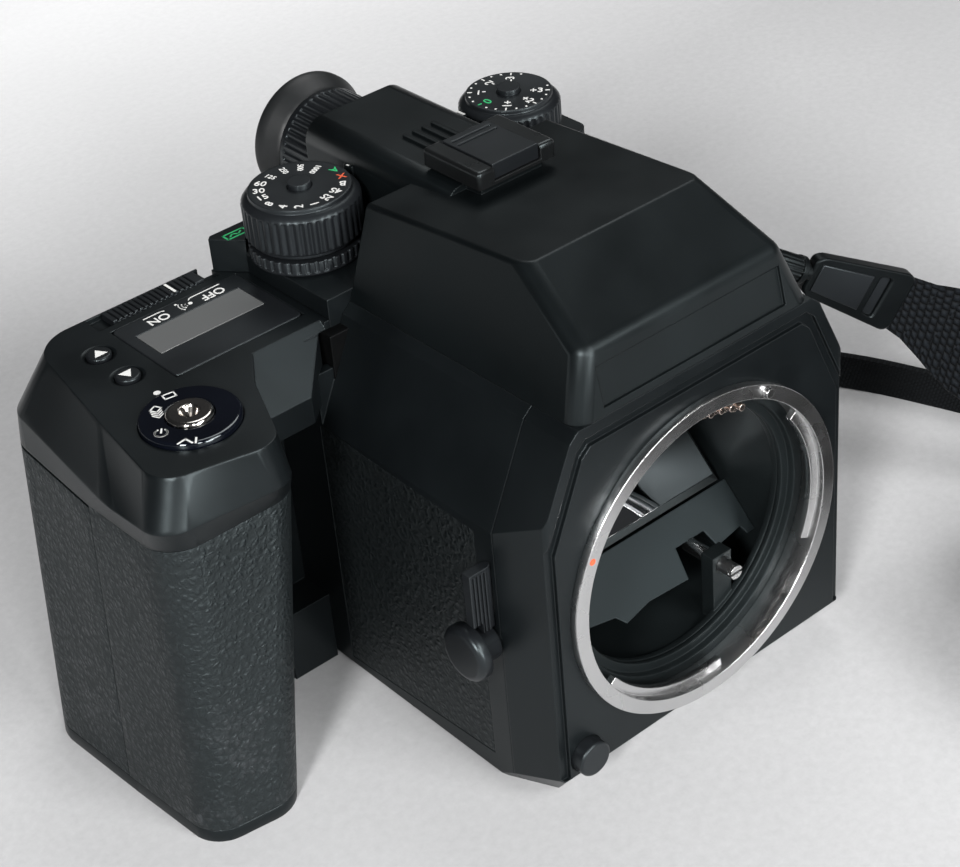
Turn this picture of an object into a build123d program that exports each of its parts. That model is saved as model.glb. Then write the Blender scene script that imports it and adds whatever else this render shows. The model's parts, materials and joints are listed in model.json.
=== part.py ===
from build123d import *
import os
from math import atan2, cos, degrees, hypot, pi, radians, sin, sqrt, tan

os.makedirs("parts", exist_ok=True)

# Frame: +X to the far side from the grip, +Y to the rear, +Z up.
# The origin is the tripod socket in the base; depths are measured back from the lens mount face.
mount_y = -45.0
axis_z = 46.0
wall = 2.4
seat_gap = 0.3
turn_gap = 0.15
cover_gap = 0.1

# Body
body_half_w = 45.0
body_rear_depth = 108.0
front_face_depth = 2.0
front_cover_depth = 15.0
front_corner_run = 3.0
front_corner_r = 1.6
corner_groove_t = 1.0
corner_groove_from = 2.6
corner_groove_w = 2.2
shoulder_low_z = 68.0
shoulder_half_w = 34.6
shoulder_top_z = 90.0
crease_half_w = 32.3
crease_z = 92.0
base_bevel_h = 8.0
base_bevel_run = 6.4
corner_cut_w = 9.6
corner_cut_run = 20.0
corner_cut_h = 12.1
base_chamfer = 1.6
base_t = 2.0

# Finder cover
name_plane_low_depth = 2.0
name_plane_top_depth = 5.0
name_plane_top_z = 105.5
name_recess_half_w = 25.0
name_recess_low_z = 93.6
name_recess_high_z = 102.0
name_recess_t = 0.7
roof_front_depth = 24.0
roof_front_z = 115.8
roof_half_w = 23.8
roof_rear_z = 112.0
finder_rear_depth = 72.0
finder_edge_r = 4.0
roof_edge_r = 1.2
tunnel_half_w = 14.2
tunnel_top_z = 114.4
tunnel_r = 5.0
rib_count = 4
rib_pitch = 2.6
rib_t = 1.0
rib_h = 0.7
rib_length = 13.0
rib_start_depth = 72.5

# Lens mount
ring_r = 37.5
ring_bore_r = 34.3
ring_collar_r = 36.2
ring_collar_length = 4.4
claw_count = 3
claw_arc = 62.0
claw_bore_r = 32.3
claw_t = 1.6
claw_start_depth = 1.8
claw_first_angle = 215.0
baffle_bore_r = 30.0
baffle_step_r = 32.0
baffle_t = 3.2
baffle_step_t = 1.4
pin_r = 0.8
contact_count = 4
contact_pitch = 5.65
contact_first_angle = 8.4
contact_arc_r = 31.0
contact_length = 3.0
contact_socket_r = 1.7
contact_socket_h = 1.2
lock_pin_angle = 62.0
lock_pin_r = 1.1
release_x = -35.6
release_z = 12.4
release_r = 4.1
release_proud = 3.0
af_x = 13.6
af_z = 29.6
af_r = 1.7
af_front_depth = 6.0
af_length = 15.0
af_block = ((-2.8, 2.8), (10.4, 14.0), 2.6)

# Mirror and finder optics
shutter_depth = 66.4
hinge_to_shutter = 6.4
hinge_depth = shutter_depth - hinge_to_shutter
mirror_swing_gap = 0.5
box_half_w = 30.0
box_wall = 1.5
box_floor_z = 15.5
box_top_z = 79.0
box_inner_depth = front_face_depth + ring_collar_length + baffle_t + box_wall
mirror_length = hinge_depth - box_inner_depth - mirror_swing_gap
screen_front_depth = 14.0
screen_rear_depth = hinge_depth - 1.0
mirror_half_w = 27.0
mirror_t = 1.6
carrier_t = 1.6
hinge_z = 71.0
hinge_r = 1.2
mirror_rest_angle = 45.0
screen_t = 1.8
eyepiece_r = 10.0

# Shutter and film chamber
shutter_t = 2.8
shutter_face_t = 0.8
shutter_slot_t = 1.6
shutter_below = 43.0
shutter_above = 36.0
blade_t = 0.35
blade_pitch = 0.55
blade_h = 16.3
blade_lap = 1.8
blade_count = 3
gate_half_w = 28.0
gate_half_h = 20.8
chamber_half_w = 38.6
chamber_floor_z = 2.8
chamber_top_z = 87.0
chamber_lid_t = 1.0
frame_wall = 1.8
chamber_front_depth = shutter_depth + shutter_t + frame_wall
holder_gap = 0.4
holder_plate_t = 4.0
holder_rear_depth = 112.0
spool_depth = 89.5
supply_offset = -30.0
takeup_offset = 27.6
spool_r = 12.4
spool_core_r = 5.5
spool_half_w = 31.8
spool_flange_t = 1.0
film_roll_r = 9.5
roller_r = 2.0
roller_offset = 24.0
axle_r = 2.0
pressure_t = 1.6
motor_x = -37.2
motor_depth = 40.0
motor_r = 5.1
motor_top_z = 40.0
motor_shaft_r = 1.2
latch_r = 9.0
latch_x = 22.0
latch_seat_t = 2.4
cheek_t = 1.6
latch_z = 30.0
memo_half_w = 17.0
memo_half_h = 22.0
memo_x = -14.0
memo_t = 1.2

# Grip outlines: corners as x, depth and corner radius, from the body side round the front to the rear
grip_base_z = 0.0
grip_cover_z = 73.6
grip_flare_z = 80.0
grip_top_z = 90.0
grip_base = [(-57, 78, 0), (-66.5, 68, 12), (-81.5, 43.2, 8), (-101.5, 46, 8), (-103.4, 72, 40), (-105.5, 108, 11),
             (-57, 108, 0)]
grip_waist = [(-57, 78, 0), (-62.5, 67, 10), (-66.5, 47.4, 8), (-98.4, 47.6, 8), (-99, 75, 40), (-97, 111, 10),
              (-57, 111, 0)]
grip_flare = [(-57, 74.5, 0), (-62, 66, 6), (-69.5, 43, 6), (-99.8, 45.8, 7), (-100.6, 64, 40), (-95.5, 111, 9),
              (-57, 111, 0)]
grip_top = [(-57, 73, 0), (-62.5, 65, 6), (-71.5, 43.4, 6), (-96.4, 49.6, 7), (-92.4, 76, 40), (-86.5, 111, 10),
            (-57, 111, 0)]
grip_skin_t = 1.2
grip_trim_h = 3.0
bridge_face_depth = 73.6
facet_depth = 64.4
facet_side = (-50.0, -39.4)
facet_root_x = -61.0
facet_joint = 0.5
web_face_depth = 77.0
web_h = 18.0
pocket_depth = 86.0
holder_seam_depth = 75.0
holder_side_x = -59.0
cell_r = 7.0
cell_length = 50.5
cell_x = (-90.2, -75.8)
cell_depths = (69.6, 84.0, 98.4)
cell_z = 7.0
tray_wall = 0.8
key_r = 7.0
key_seat_t = 1.4
key_pin_r = 1.6
key_z = 16.0

# Controls on the grip
drive_x = -79.3
drive_depth = 63.0
drive_r = 10.4
drive_h = 1.4
drive_sink = 3.0
shutter_button_r = 4.9
shutter_button_proud = 2.2
cable_cone_r = 2.2
set_button_r = 2.7
set_button_proud = 0.5
up_button_at = (-79.0, 97.0)
down_button_at = (-79.2, 85.8)
button_dish_r = 3.7
button_dish_h = 0.6
display_x = (-72.5, -40.4)
display_depth = (78.0, 102.6)
display_frame_h = 0.15
display_sink = 1.8
window_x = (-69.8, -43.5)
window_depth = (87.5, 97.0)
switch_x = (-70.0, -46.8)
switch_depth = (105.2, 110.2)
switch_h = 0.5
switch_sink = 1.2
switch_travel = 3.5

# Dials
deck_top_z = 94.6
shutter_dial_x = -27.5
shutter_dial_depth = 92.5
shutter_dial_r = 12.9
shutter_disc_r = 11.15
dial_top_z = 110.0
tooth_ring_r = 12.5
tooth_count = 40
tooth_h = 3.0
comp_dial_x = 31.0
comp_dial_depth = 92.0
comp_dial_r = 11.6
comp_disc_r = 9.84
comp_base_z = 100.4
dial_shaft_r = 4.0
dial_button_r = 2.6
dial_button_proud = 1.2
dial_button_travel = 0.7
rib_groove = 0.5
shutter_index = ((-14.5, -10.6), (91.2, 94.4), (100.0, 109.4))
comp_index = ((17.4, 18.9), (92.6, 95.0), (100.0, 109.0))
platform_top_z = 98.0
deck_left_w = 38.0

# Hot shoe
shoe_front_depth = 53.0
shoe_rear_depth = 71.0
shoe_half_w = 10.5
shoe_slot_half_w = 9.3
shoe_lip_half_w = 6.3
shoe_base_z = 115.6
shoe_base_t = 0.8
shoe_lip_t = 1.4
shoe_top_z = 119.5
shoe_foot_z = 111.0
shoe_cover_top_z = 119.9
shoe_fit = 0.1
shoe_foot_inset = 2.2
shoe_edge_r = 0.9

# Eyepiece
diopter_front_depth = 108.0
diopter_rear_depth = 121.4
diopter_r = 13.0
eyecup_r = 14.9
eyecup_rear_depth = 128.8
eyecup_lip_t = 2.2
eye_z = 99.4

# Side fittings
panel_t = 0.8
panel_corners = [(20.8, 6.4), (20.8, 65.7), (70.6, 67.4), (70.6, 3.4)]
lever_z = (44.9, 60.4)
lever_reach = 6.2
lever_low_reach = 3.8
lever_step_z = 47.4
lever_pivot_r = 1.0
lever_depth = 15.4
lever_t = 2.4
stud_depth = 18.0
stud_z = 40.0
stud_head_r = 6.4
stud_head_t = 3.0
stud_neck_r = 2.8
stud_collar_r = 4.1
stud_length = 8.2
lug_depth = 34.0
lug_z = 82.0
lug_length = 7.0
low_lug_depth = 92.0
low_lug_z = 24.0
focus_switch_depth = 34.0
focus_switch_z = 14.0
focus_switch_r = 6.0
tripod_r = 3.175
tripod_boss_r = 9.5
tripod_length = 7.0
side_socket_depth = 50.0

# Strap: x, depth and centre height of hand-chosen points, from each clip to the coil
strap_w = 30.0
strap_end_w = 10.0
strap_t = 2.0
strap_upper_route = [(80.5, 20.4, 62), (97, 12, 48), (115, -6, 31), (131, -30, 19), (140, -55, 15), (142.5, -78, 15)]
strap_lower_route = [(153.5, -78, 5), (150, -40, 5), (140, 0, 5), (128, 36, 5), (117, 68, 5), (96, 88, 8),
                     (62, 92, 24)]
coil_centre = (93.0, -78.0)
coil_first_r = 22.0
coil_pitch = 11.0
coil_half_turns = 3
clip_t = 4.0
clip_gap = 3.4


def at(depth):
    """The frame's Y of a depth behind the lens mount face."""
    return mount_y + depth


def block(x, depth, z):
    """A box between two limits in x, depth and z."""
    centre = ((x[0] + x[1]) / 2, at((depth[0] + depth[1]) / 2), (z[0] + z[1]) / 2)
    return Pos(*centre) * Box(x[1] - x[0], depth[1] - depth[0], z[1] - z[0])


def rod_x(x, depth, z, r):
    """A cylinder along X between two limits."""
    return Pos((x[0] + x[1]) / 2, at(depth), z) * Rot(0, 90, 0) * Cylinder(r, x[1] - x[0])


def rod_y(x, depth, z, r):
    """A cylinder along Y between two depths."""
    return Pos(x, at((depth[0] + depth[1]) / 2), z) * Rot(90, 0, 0) * Cylinder(r, depth[1] - depth[0])


def rod_z(x, depth, z, r):
    """A cylinder along Z between two heights."""
    return Pos(x, at(depth), (z[0] + z[1]) / 2) * Cylinder(r, z[1] - z[0])


def slab_y(points, depth):
    """An outline in x and z, drawn out between two depths."""
    face = make_face(Polyline([(x, at(depth[0]), z) for x, z in points], close=True))
    return extrude(face, amount=depth[1] - depth[0], dir=(0, 1, 0))


def slab_x(points, x):
    """An outline in depth and z, drawn out between two limits in x."""
    face = make_face(Polyline([(x[0], at(d), z) for d, z in points], close=True))
    return extrude(face, amount=x[1] - x[0], dir=(1, 0, 0))


def slab_z(points, z):
    """An outline in x and depth, drawn out between two heights."""
    face = make_face(Polyline([(x, at(d), z[0]) for x, d in points], close=True))
    return extrude(face, amount=z[1] - z[0], dir=(0, 0, 1))


def below(solid, point, normal):
    """What is left of a solid on the inner side of a plane."""
    plane = Plane(origin=(point[0], at(point[1]), point[2]), z_dir=normal)
    return split(solid, bisect_by=plane, keep=Keep.BOTTOM)


def mirrored(solid):
    """The same piece on the other side of the body."""
    return mirror(solid, about=Plane.YZ)


def save(shape, name):
    """One node of the part."""
    shape.label = name
    export_step(shape, f"parts/{name}.step")
    print(name, round(shape.volume, 1))


def side_profile(inset):
    """Half outline of the body in x and z, from the base to the crease below the finder."""
    half_w = body_half_w - inset
    slope_run = (body_half_w - shoulder_half_w) / (shoulder_top_z - shoulder_low_z)
    lean = sqrt(1 + slope_run ** 2) - slope_run
    return [
        (half_w, shoulder_low_z - inset * lean * 0.5),
        (shoulder_half_w - inset * 0.6, shoulder_top_z - inset),
        (crease_half_w - inset * 0.6, crease_z - inset),
    ]


def front_block(inset):
    """The front of the body as a solid, with its corners, shoulders and base bevel."""
    half_w = body_half_w - inset
    front = front_face_depth + inset
    run = front_corner_run
    plan = [
        (-half_w, front_cover_depth + 1), (-half_w, front_cover_depth), (-half_w + run, front),
        (half_w - run, front), (half_w, front_cover_depth), (half_w, front_cover_depth + 1),
    ]
    side = side_profile(inset)
    low = base_t if inset else 0.0
    outline = [(-half_w, low)] + [(-x, z) for x, z in side] + list(reversed(side)) + [(half_w, low)]
    solid = slab_z(plan, (low, crease_z + 1)) & slab_y(outline, (front - 1, front_cover_depth))
    bevel = (0, -base_bevel_h, -base_bevel_run)
    point = (0, front_face_depth + inset * 0.7, base_bevel_h + inset * 0.7)
    return cut_corners(below(solid, point, bevel), inset)


def front_housing():
    """Moulded front cover with its round opening, corners, shoulders and the channels beside its corners."""
    outer = front_block(0)
    corners = [e for e in outer.edges().filter_by(Axis.Z) if e.center().Y < at(front_cover_depth - 1)]
    outer = fillet(corners, front_corner_r)
    low = [e for e in outer.edges().filter_by(Axis.Y) if e.center().Z < 1]
    outer = chamfer(low, base_chamfer) if low else outer
    outer -= corner_groove()
    shell = outer - front_block(wall)
    shell -= rod_y(0, (0, front_cover_depth), axis_z, ring_collar_r + seat_gap)
    shell -= rod_y(release_x, (0, front_cover_depth), release_z, release_r + turn_gap)
    x, z = ring_pin_place()
    return shell - rod_y(x, (0, front_cover_depth), z, lock_pin_r + turn_gap)


def finder_block(inset):
    """The finder housing as a solid: five sloping planes over the crease."""
    half_w = crease_half_w + 3
    solid = block((-half_w, half_w), (0, finder_rear_depth - inset), (crease_z, roof_front_z + 4))
    name_run = name_plane_top_depth - name_plane_low_depth
    name_rise = name_plane_top_z - crease_z
    solid = below(solid, (0, name_plane_low_depth + inset, crease_z), (0, -name_rise, name_run))
    slope_run = roof_front_depth - name_plane_top_depth
    slope_rise = roof_front_z - name_plane_top_z
    solid = below(solid, (0, roof_front_depth, roof_front_z - inset * 1.1), (0, -slope_rise, slope_run))
    roof_run = finder_rear_depth - roof_front_depth
    roof_fall = roof_front_z - roof_rear_z
    solid = below(solid, (0, roof_front_depth, roof_front_z - inset), (0, roof_fall, roof_run))
    side_run = crease_half_w - roof_half_w
    side_rise = roof_front_z - crease_z
    for side in (-1, 1):
        point = (side * (crease_half_w - inset), front_cover_depth, crease_z)
        solid = below(solid, point, (side * side_rise, 0, side_run))
    return solid


def tunnel_block(inset, front, rear):
    """The eyepiece tunnel: a box with a rounded top."""
    half_w = tunnel_half_w - inset
    top = tunnel_top_z - inset
    low = deck_top_z - 1
    outline = RectangleRounded(2 * half_w, top - low + tunnel_r, tunnel_r)
    plane = Plane(origin=(0, at(front), (top + low - tunnel_r) / 2), x_dir=(1, 0, 0), z_dir=(0, -1, 0))
    solid = extrude(plane * outline, amount=-(rear - front))
    return solid & block((-half_w, half_w), (front, rear), (low, top + 1))


def dial_clearance():
    """Room for the two dials beside the tunnel."""
    left = rod_z(shutter_dial_x, shutter_dial_depth, (deck_top_z, dial_top_z + 9), shutter_dial_r + seat_gap)
    right = rod_z(comp_dial_x, comp_dial_depth, (comp_base_z, dial_top_z + 9), comp_dial_r + seat_gap)
    return left + right


def prism_cover():
    """Finder cover with the tunnel behind it, its ribs, the first index and the bare name plate recess."""
    outer = finder_block(0)
    edges = [e for e in outer.edges() if e.center().Z > crease_z + 5 and e.center().Y < at(finder_rear_depth - 2)]
    outer = fillet([e for e in edges if e.center().Z < roof_rear_z - 1], finder_edge_r)
    edges = [e for e in outer.edges() if e.center().Z > roof_rear_z - 1 and e.center().Y < at(finder_rear_depth - 2)]
    outer = fillet(edges, roof_edge_r)
    outer += tunnel_block(0, finder_rear_depth - 12, body_rear_depth)
    inner = finder_block(wall)
    inner += tunnel_block(wall, finder_rear_depth - 14, body_rear_depth - wall)
    shell = outer - inner
    shell -= rod_y(0, (body_rear_depth - 5, body_rear_depth + 1), eye_z, eyepiece_r)
    run = (name_plane_top_depth - name_plane_low_depth) / (name_plane_top_z - crease_z)
    recess = [
        (name_plane_low_depth - 2, name_recess_low_z), (name_plane_low_depth - 2, name_recess_high_z),
        (name_plane_low_depth + run * (name_recess_high_z - crease_z) + name_recess_t, name_recess_high_z),
        (name_plane_low_depth + run * (name_recess_low_z - crease_z) + name_recess_t, name_recess_low_z),
    ]
    shell -= slab_x(recess, (-name_recess_half_w, name_recess_half_w))
    for i in range(rib_count):
        x = (i - (rib_count - 1) / 2) * rib_pitch
        rear = rib_start_depth + rib_length
        top = tunnel_top_z + rib_h
        shell += block((x - rib_t / 2, x + rib_t / 2), (rib_start_depth, rear), (tunnel_top_z - 1, top))
    foot_w = shoe_half_w - shoe_foot_inset
    foot_depth = (shoe_front_depth + shoe_foot_inset, shoe_rear_depth)
    shell += block((-foot_w, foot_w), foot_depth, (shoe_foot_z, shoe_base_z))
    shell -= dial_clearance()
    shell += index_tab(shutter_index) - rod_z(shutter_dial_x, shutter_dial_depth, (90, 120), shutter_dial_r + turn_gap)
    return shell


def rear_deck():
    """Top plate between the finder and the rear, with a raised seat for each dial and the second index."""
    depth = (finder_rear_depth + cover_gap, body_rear_depth)
    low = chamber_top_z + chamber_lid_t
    solid = block((-deck_left_w, body_half_w), depth, (low, deck_top_z))
    mark = [(-43.1, 107), (-37.5, 100.2), (-30, 98), (-20, 98), (-20, body_rear_depth), (-42, body_rear_depth)]
    solid += slab_z(mark, (grip_top_z + cover_gap, platform_top_z))
    seat = block((tunnel_half_w + 1, body_half_w - 1), (80, body_rear_depth), (low, comp_base_z - seat_gap))
    solid += fillet(seat.edges().filter_by(Axis.Z), 3.0)
    solid += index_tab(comp_index) + block(comp_index[0], comp_index[1], (low, comp_base_z))
    solid -= tunnel_block(-cover_gap, finder_rear_depth - 1, body_rear_depth + 1)
    rear = body_rear_depth - wall
    inner_w = tunnel_half_w - wall
    solid -= block((-inner_w, inner_w), (finder_rear_depth - 1, rear), (low - 1, deck_top_z + 1))
    solid -= rod_y(0, (rear - 1, body_rear_depth + 1), eye_z, eyepiece_r)
    clear = (deck_top_z, dial_top_z)
    solid -= rod_z(shutter_dial_x, shutter_dial_depth, clear, shutter_dial_r + seat_gap)
    for x, dial_depth in ((shutter_dial_x, shutter_dial_depth), (comp_dial_x, comp_dial_depth)):
        solid -= rod_z(x, dial_depth, (low - 5, dial_top_z), dial_shaft_r + turn_gap)
    return max(solid.solids(), key=lambda part: part.volume)


def side_cover():
    """Side wall of the body with its sloping shoulder and its full height rear; this one is on the far side."""
    outer = [(body_half_w, base_t)] + side_profile(0)
    inner = side_profile(wall)
    points = outer + [(crease_half_w - wall, crease_z - wall)] + list(reversed(inner))[1:]
    points += [(body_half_w - wall, base_t)]
    front = slab_y(points, (front_cover_depth + cover_gap, finder_rear_depth))
    top = chamber_top_z + chamber_lid_t
    rear = block((body_half_w - wall, body_half_w), (finder_rear_depth - wall, body_rear_depth), (base_t, top))
    step_low = shoulder_low_z - wall
    step = block((crease_half_w - wall, body_half_w), (finder_rear_depth - wall, finder_rear_depth), (step_low, top))
    side = slab_y(points[1:4] + [(0, crease_z), (0, step_low), (body_half_w, step_low)],
                  (finder_rear_depth - wall, finder_rear_depth))
    return cut_corners(front + rear + (step & (side + step)) - main_frame_room())


def panel_recess(depth_in):
    """The flat leather panel on the grip side, or the pocket it lies in."""
    x = (-body_half_w - 1, -body_half_w + depth_in)
    return slab_x(panel_corners, x)


def left_side_cover():
    """Grip side cover with the pocket for the leather panel and the openings beside the grip."""
    solid = mirrored(side_cover()) - panel_recess(panel_t)
    solid -= rod_x((-body_half_w - 9, -body_half_w + 9), stud_depth, stud_z, stud_neck_r)
    facet_x = (-body_half_w - 1, facet_side[1] + cover_gap)
    depth = (facet_depth, finder_rear_depth + 1)
    return solid - block(facet_x, depth, (grip_flare_z + facet_joint - cover_gap, crease_z))


def right_side_cover():
    """Far side cover with the side tripod socket, strap studs and focus switch seats."""
    solid = side_cover()
    span = (body_half_w - 9, body_half_w + 9)
    solid -= rod_x(span, side_socket_depth, axis_z, tripod_boss_r)
    solid -= rod_x(span, low_lug_depth, low_lug_z, stud_neck_r)
    solid -= rod_x(span, focus_switch_depth, focus_switch_z, focus_switch_r + turn_gap)
    return solid - shoulder_lug(stud_neck_r)


def base_plate():
    """Bottom cover with the tripod opening and bevelled long sides."""
    depth = (front_cover_depth + cover_gap, body_rear_depth)
    solid = block((-body_half_w, body_half_w), depth, (0, base_t))
    low = [e for e in solid.edges().filter_by(Axis.Y) if e.center().Z < base_t / 2]
    solid = chamfer(low, base_chamfer)
    return cut_corners(solid) - rod_z(0, -mount_y, (-1, base_t + 1), tripod_boss_r)


def main_frame():
    """Cast frame: the film chamber with its lid and the gate wall."""
    x = chamber_half_w
    outer = block((-x - frame_wall, x + frame_wall), (chamber_front_depth - frame_wall, body_rear_depth),
                  (base_t, chamber_top_z + chamber_lid_t))
    inner = block((-x, x), (chamber_front_depth, body_rear_depth + 1), (chamber_floor_z, chamber_top_z))
    gate = block((-gate_half_w, gate_half_w), (0, 200), (axis_z - gate_half_h, axis_z + gate_half_h))
    return outer - inner - gate


def bush(radius, length):
    """A tripod bush: a flanged sleeve with a threaded hole, standing on its mouth."""
    sleeve = Pos(0, 0, length / 2) * Cylinder(radius, length)
    return sleeve - Pos(0, 0, length / 2 - 1) * Cylinder(tripod_r, length - 2 + 0.001)


def tripod_bushes():
    """One bush in the base and one in the far side."""
    base = bush(tripod_boss_r - cover_gap, tripod_length)
    side = Pos(body_half_w, at(side_socket_depth), axis_z) * Rot(0, -90, 0)
    return Compound([base, side * bush(tripod_boss_r - cover_gap, tripod_length)])


def ring_sector(outer, inner, depth, start, arc):
    """A piece of a ring about the lens axis."""
    solid = rod_y(0, depth, axis_z, outer) - rod_y(0, (depth[0] - 1, depth[1] + 1), axis_z, inner)
    steps = 6
    reach = outer * 1.5
    points = [(0, axis_z)]
    for i in range(steps + 1):
        angle = radians(start + arc * i / steps)
        points.append((reach * cos(angle), axis_z + reach * sin(angle)))
    return solid & slab_y(points, (depth[0] - 1, depth[1] + 1))


def mount_ring():
    """Lens mount: flange, collar and three bayonet claws."""
    ring = rod_y(0, (0, front_face_depth), axis_z, ring_r)
    ring += rod_y(0, (front_face_depth, front_face_depth + ring_collar_length), axis_z, ring_collar_r)
    ring -= rod_y(0, (-1, 20), axis_z, ring_bore_r)
    for i in range(claw_count):
        depth = (claw_start_depth, claw_start_depth + claw_t)
        start = claw_first_angle + i * 360 / claw_count
        ring += ring_sector(ring_bore_r + 0.5, claw_bore_r, depth, start, claw_arc)
    x, z = ring_pin_place()
    return ring - rod_y(x, (-1, 20), z, lock_pin_r + turn_gap)


def lens_lock_pin():
    """Pin that stops the lens from turning; it sinks with the release button."""
    x, z = ring_pin_place()
    return rod_y(x, (-lock_pin_r, front_face_depth + ring_collar_length), z, lock_pin_r)


def mount_baffle():
    """Black stepped ring behind the claws."""
    start = front_face_depth + ring_collar_length
    ring = rod_y(0, (start, start + baffle_t), axis_z, ring_collar_r)
    ring -= rod_y(0, (start - 1, start + baffle_t - baffle_step_t), axis_z, baffle_step_r)
    ring -= rod_y(0, (start, start + baffle_t + 1), axis_z, baffle_bore_r)
    x, z = ring_pin_place()
    return ring - rod_y(x, (start - 1, start + 20), z, lock_pin_r + turn_gap)


def mount_contacts():
    """Sprung contact pins in small sockets that stand on the baffle's step."""
    start = front_face_depth + ring_collar_length
    seat = start + baffle_t - baffle_step_t
    room = rod_y(0, (start - contact_length, seat), axis_z, baffle_step_r - cover_gap)
    solids = []
    sockets = []
    for i in range(contact_count):
        x, z = contact_place(i)
        pin = rod_y(x, (start - contact_length, start), z, pin_r)
        solids.append(pin)
        socket = rod_y(x, (start - contact_socket_h, seat), z, contact_socket_r) & room
        sockets.append(socket - pin)
    return Compound(solids + sockets)


def mirror_box():
    """Black box between the mount and the shutter, open at the front, rear and top."""
    front = front_face_depth + ring_collar_length + baffle_t
    rear = shutter_depth
    half = box_half_w + box_wall
    solid = block((-half, half), (front, rear), (box_floor_z - box_wall, box_top_z))
    solid -= block((-box_half_w, box_half_w), (front + box_wall, rear + 1), (box_floor_z, box_top_z + 1))
    solid -= rod_y(0, (front - 1, front + 5), axis_z, baffle_bore_r)
    bracket_x, bracket_depth, above = af_block
    solid += block((af_x + bracket_x[0], af_x + bracket_x[1]), bracket_depth, (box_floor_z - 1, af_z + above))
    solid -= rod_y(af_x, (front - 1, bracket_depth[1] + 1), af_z, af_r + turn_gap)
    return solid - rod_x((-half - 1, half + 1), hinge_depth, hinge_z, hinge_r + turn_gap)


def mirror_plate(length, half_w, near, far):
    """A plate lying back from the hinge at the mirror's rest angle."""
    low = -(length)
    plate = Box(2 * half_w, length, far - near)
    plate = Pos(0, low / 2, (near + far) / 2) * plate
    return Pos(0, at(hinge_depth), hinge_z) * Rot(mirror_rest_angle, 0, 0) * plate


def mirror_carrier():
    """Plate that carries the mirror, with its hinge pin."""
    plate = mirror_plate(mirror_length, mirror_half_w + 1.2, -carrier_t, 0)
    rod = rod_x((-box_half_w - box_wall, box_half_w + box_wall), hinge_depth, hinge_z, hinge_r)
    return plate + rod


def mirror_glass():
    """Front surface mirror."""
    plate = Pos(0, -mirror_length / 2 - 1.0, mirror_t / 2) * Box(2 * mirror_half_w, mirror_length - 5, mirror_t)
    return Pos(0, at(hinge_depth), hinge_z) * Rot(mirror_rest_angle, 0, 0) * plate


def focusing_screen():
    """Ground screen over the mirror box."""
    return block((-box_half_w - box_wall, box_half_w + box_wall), (screen_front_depth, screen_rear_depth),
                 (box_top_z, box_top_z + screen_t))


def pentaprism():
    """Roof prism over the focusing screen."""
    low = box_top_z + screen_t
    points = [(screen_front_depth + 3, low), (screen_rear_depth, low), (screen_rear_depth + 3, 93),
              (screen_rear_depth - 1, 107), (46, 110.5), (32, 110.5), (screen_front_depth + 2, 101)]
    half_w = roof_half_w - wall - 1.5
    return slab_x(points, (-half_w, half_w))


def eyepiece_lens():
    """Eyepiece lens in the rear wall of the tunnel."""
    return rod_y(0, (body_rear_depth - wall, body_rear_depth), eye_z, eyepiece_r - turn_gap)


def ribbed(solid, x, depth, z, r, count, groove):
    """Grooves along a round knob's side."""
    for i in range(count):
        angle = 2 * pi * i / count
        cut = rod_z(x + (r + groove * 0.4) * cos(angle), depth + (r + groove * 0.4) * sin(angle), z, groove)
        solid -= cut
    return solid


def knob(x, depth, r, disc_r, low, count):
    """A dial: ribbed side, bevel to its top disc and a bore for the lock button."""
    bevel = r - disc_r
    body = rod_z(x, depth, (low, dial_top_z - bevel), r)
    top = Pos(x, at(depth), dial_top_z - bevel / 2) * Cone(r - 0.6, disc_r, bevel)
    body = ribbed(body, x, depth, (low + 0.8, dial_top_z - bevel + 1), r, count, rib_groove) + top
    shaft = rod_z(x, depth, (low - 3.6, low + 1), dial_shaft_r)
    return body + shaft - rod_z(x, depth, (dial_top_z - 3, dial_top_z + 1), dial_button_r + turn_gap)


def dial_button(x, depth):
    """Lock button at the centre of a dial."""
    return rod_z(x, depth, (dial_top_z - 3 + dial_button_travel + 0.1, dial_top_z + dial_button_proud), dial_button_r)


def metering_ring():
    """Toothed ring below the shutter dial, with its index arm."""
    x = shutter_dial_x
    depth = shutter_dial_depth
    z = (deck_top_z + 0.4, deck_top_z + 0.4 + tooth_h)
    ring = rod_z(x, depth, z, tooth_ring_r)
    for i in range(tooth_count):
        angle = 2 * pi * i / tooth_count
        px = x + (tooth_ring_r + 0.2) * cos(angle)
        ring -= rod_z(px, depth + (tooth_ring_r + 0.2) * sin(angle), (z[0] + 0.6, z[1] + 1), 0.55)
    return ring - rod_z(x, depth, (z[0] - 1, z[1] + 1), dial_shaft_r + turn_gap)


def grip_loft(z_low, z_high, inset):
    """The grip between two heights below its cover."""
    return loft([outline_face(grip_corners(z, inset), z) for z in (z_low, z_high)], ruled=True)


def cover_loft():
    """The cover on top of the grip: it flares out and then slopes in."""
    low = outline_face(grip_waist, grip_cover_z)
    flare = outline_face(grip_flare, grip_flare_z)
    top = outline_face(grip_top, grip_top_z)
    return loft([low, flare], ruled=True) + loft([flare, top], ruled=True)


def holder_zone(gap):
    """The rear part of the grip that leaves with the battery holder."""
    return block((-120, holder_side_x - gap), (holder_seam_depth + gap, 130),
                 (grip_trim_h + gap, grip_cover_z - 0.6 - gap))


def tray_block(gap):
    """The battery tray's outer form."""
    x = (cell_x[0] - cell_r - tray_wall - gap, cell_x[1] + cell_r + tray_wall + gap)
    depth = (cell_depths[0] - cell_r - tray_wall - gap, cell_depths[2] + cell_r + tray_wall)
    solid = block(x, depth, (cell_z - tray_wall - gap, cell_z + cell_length + tray_wall + gap))
    return fillet(solid.edges().filter_by(Axis.Z), cell_r)


def cells(gap):
    """Six round cells standing in two rows of three."""
    return [rod_z(x, d, (cell_z - gap, cell_z + cell_length + gap), cell_r + gap)
            for x in cell_x for d in cell_depths]


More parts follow.
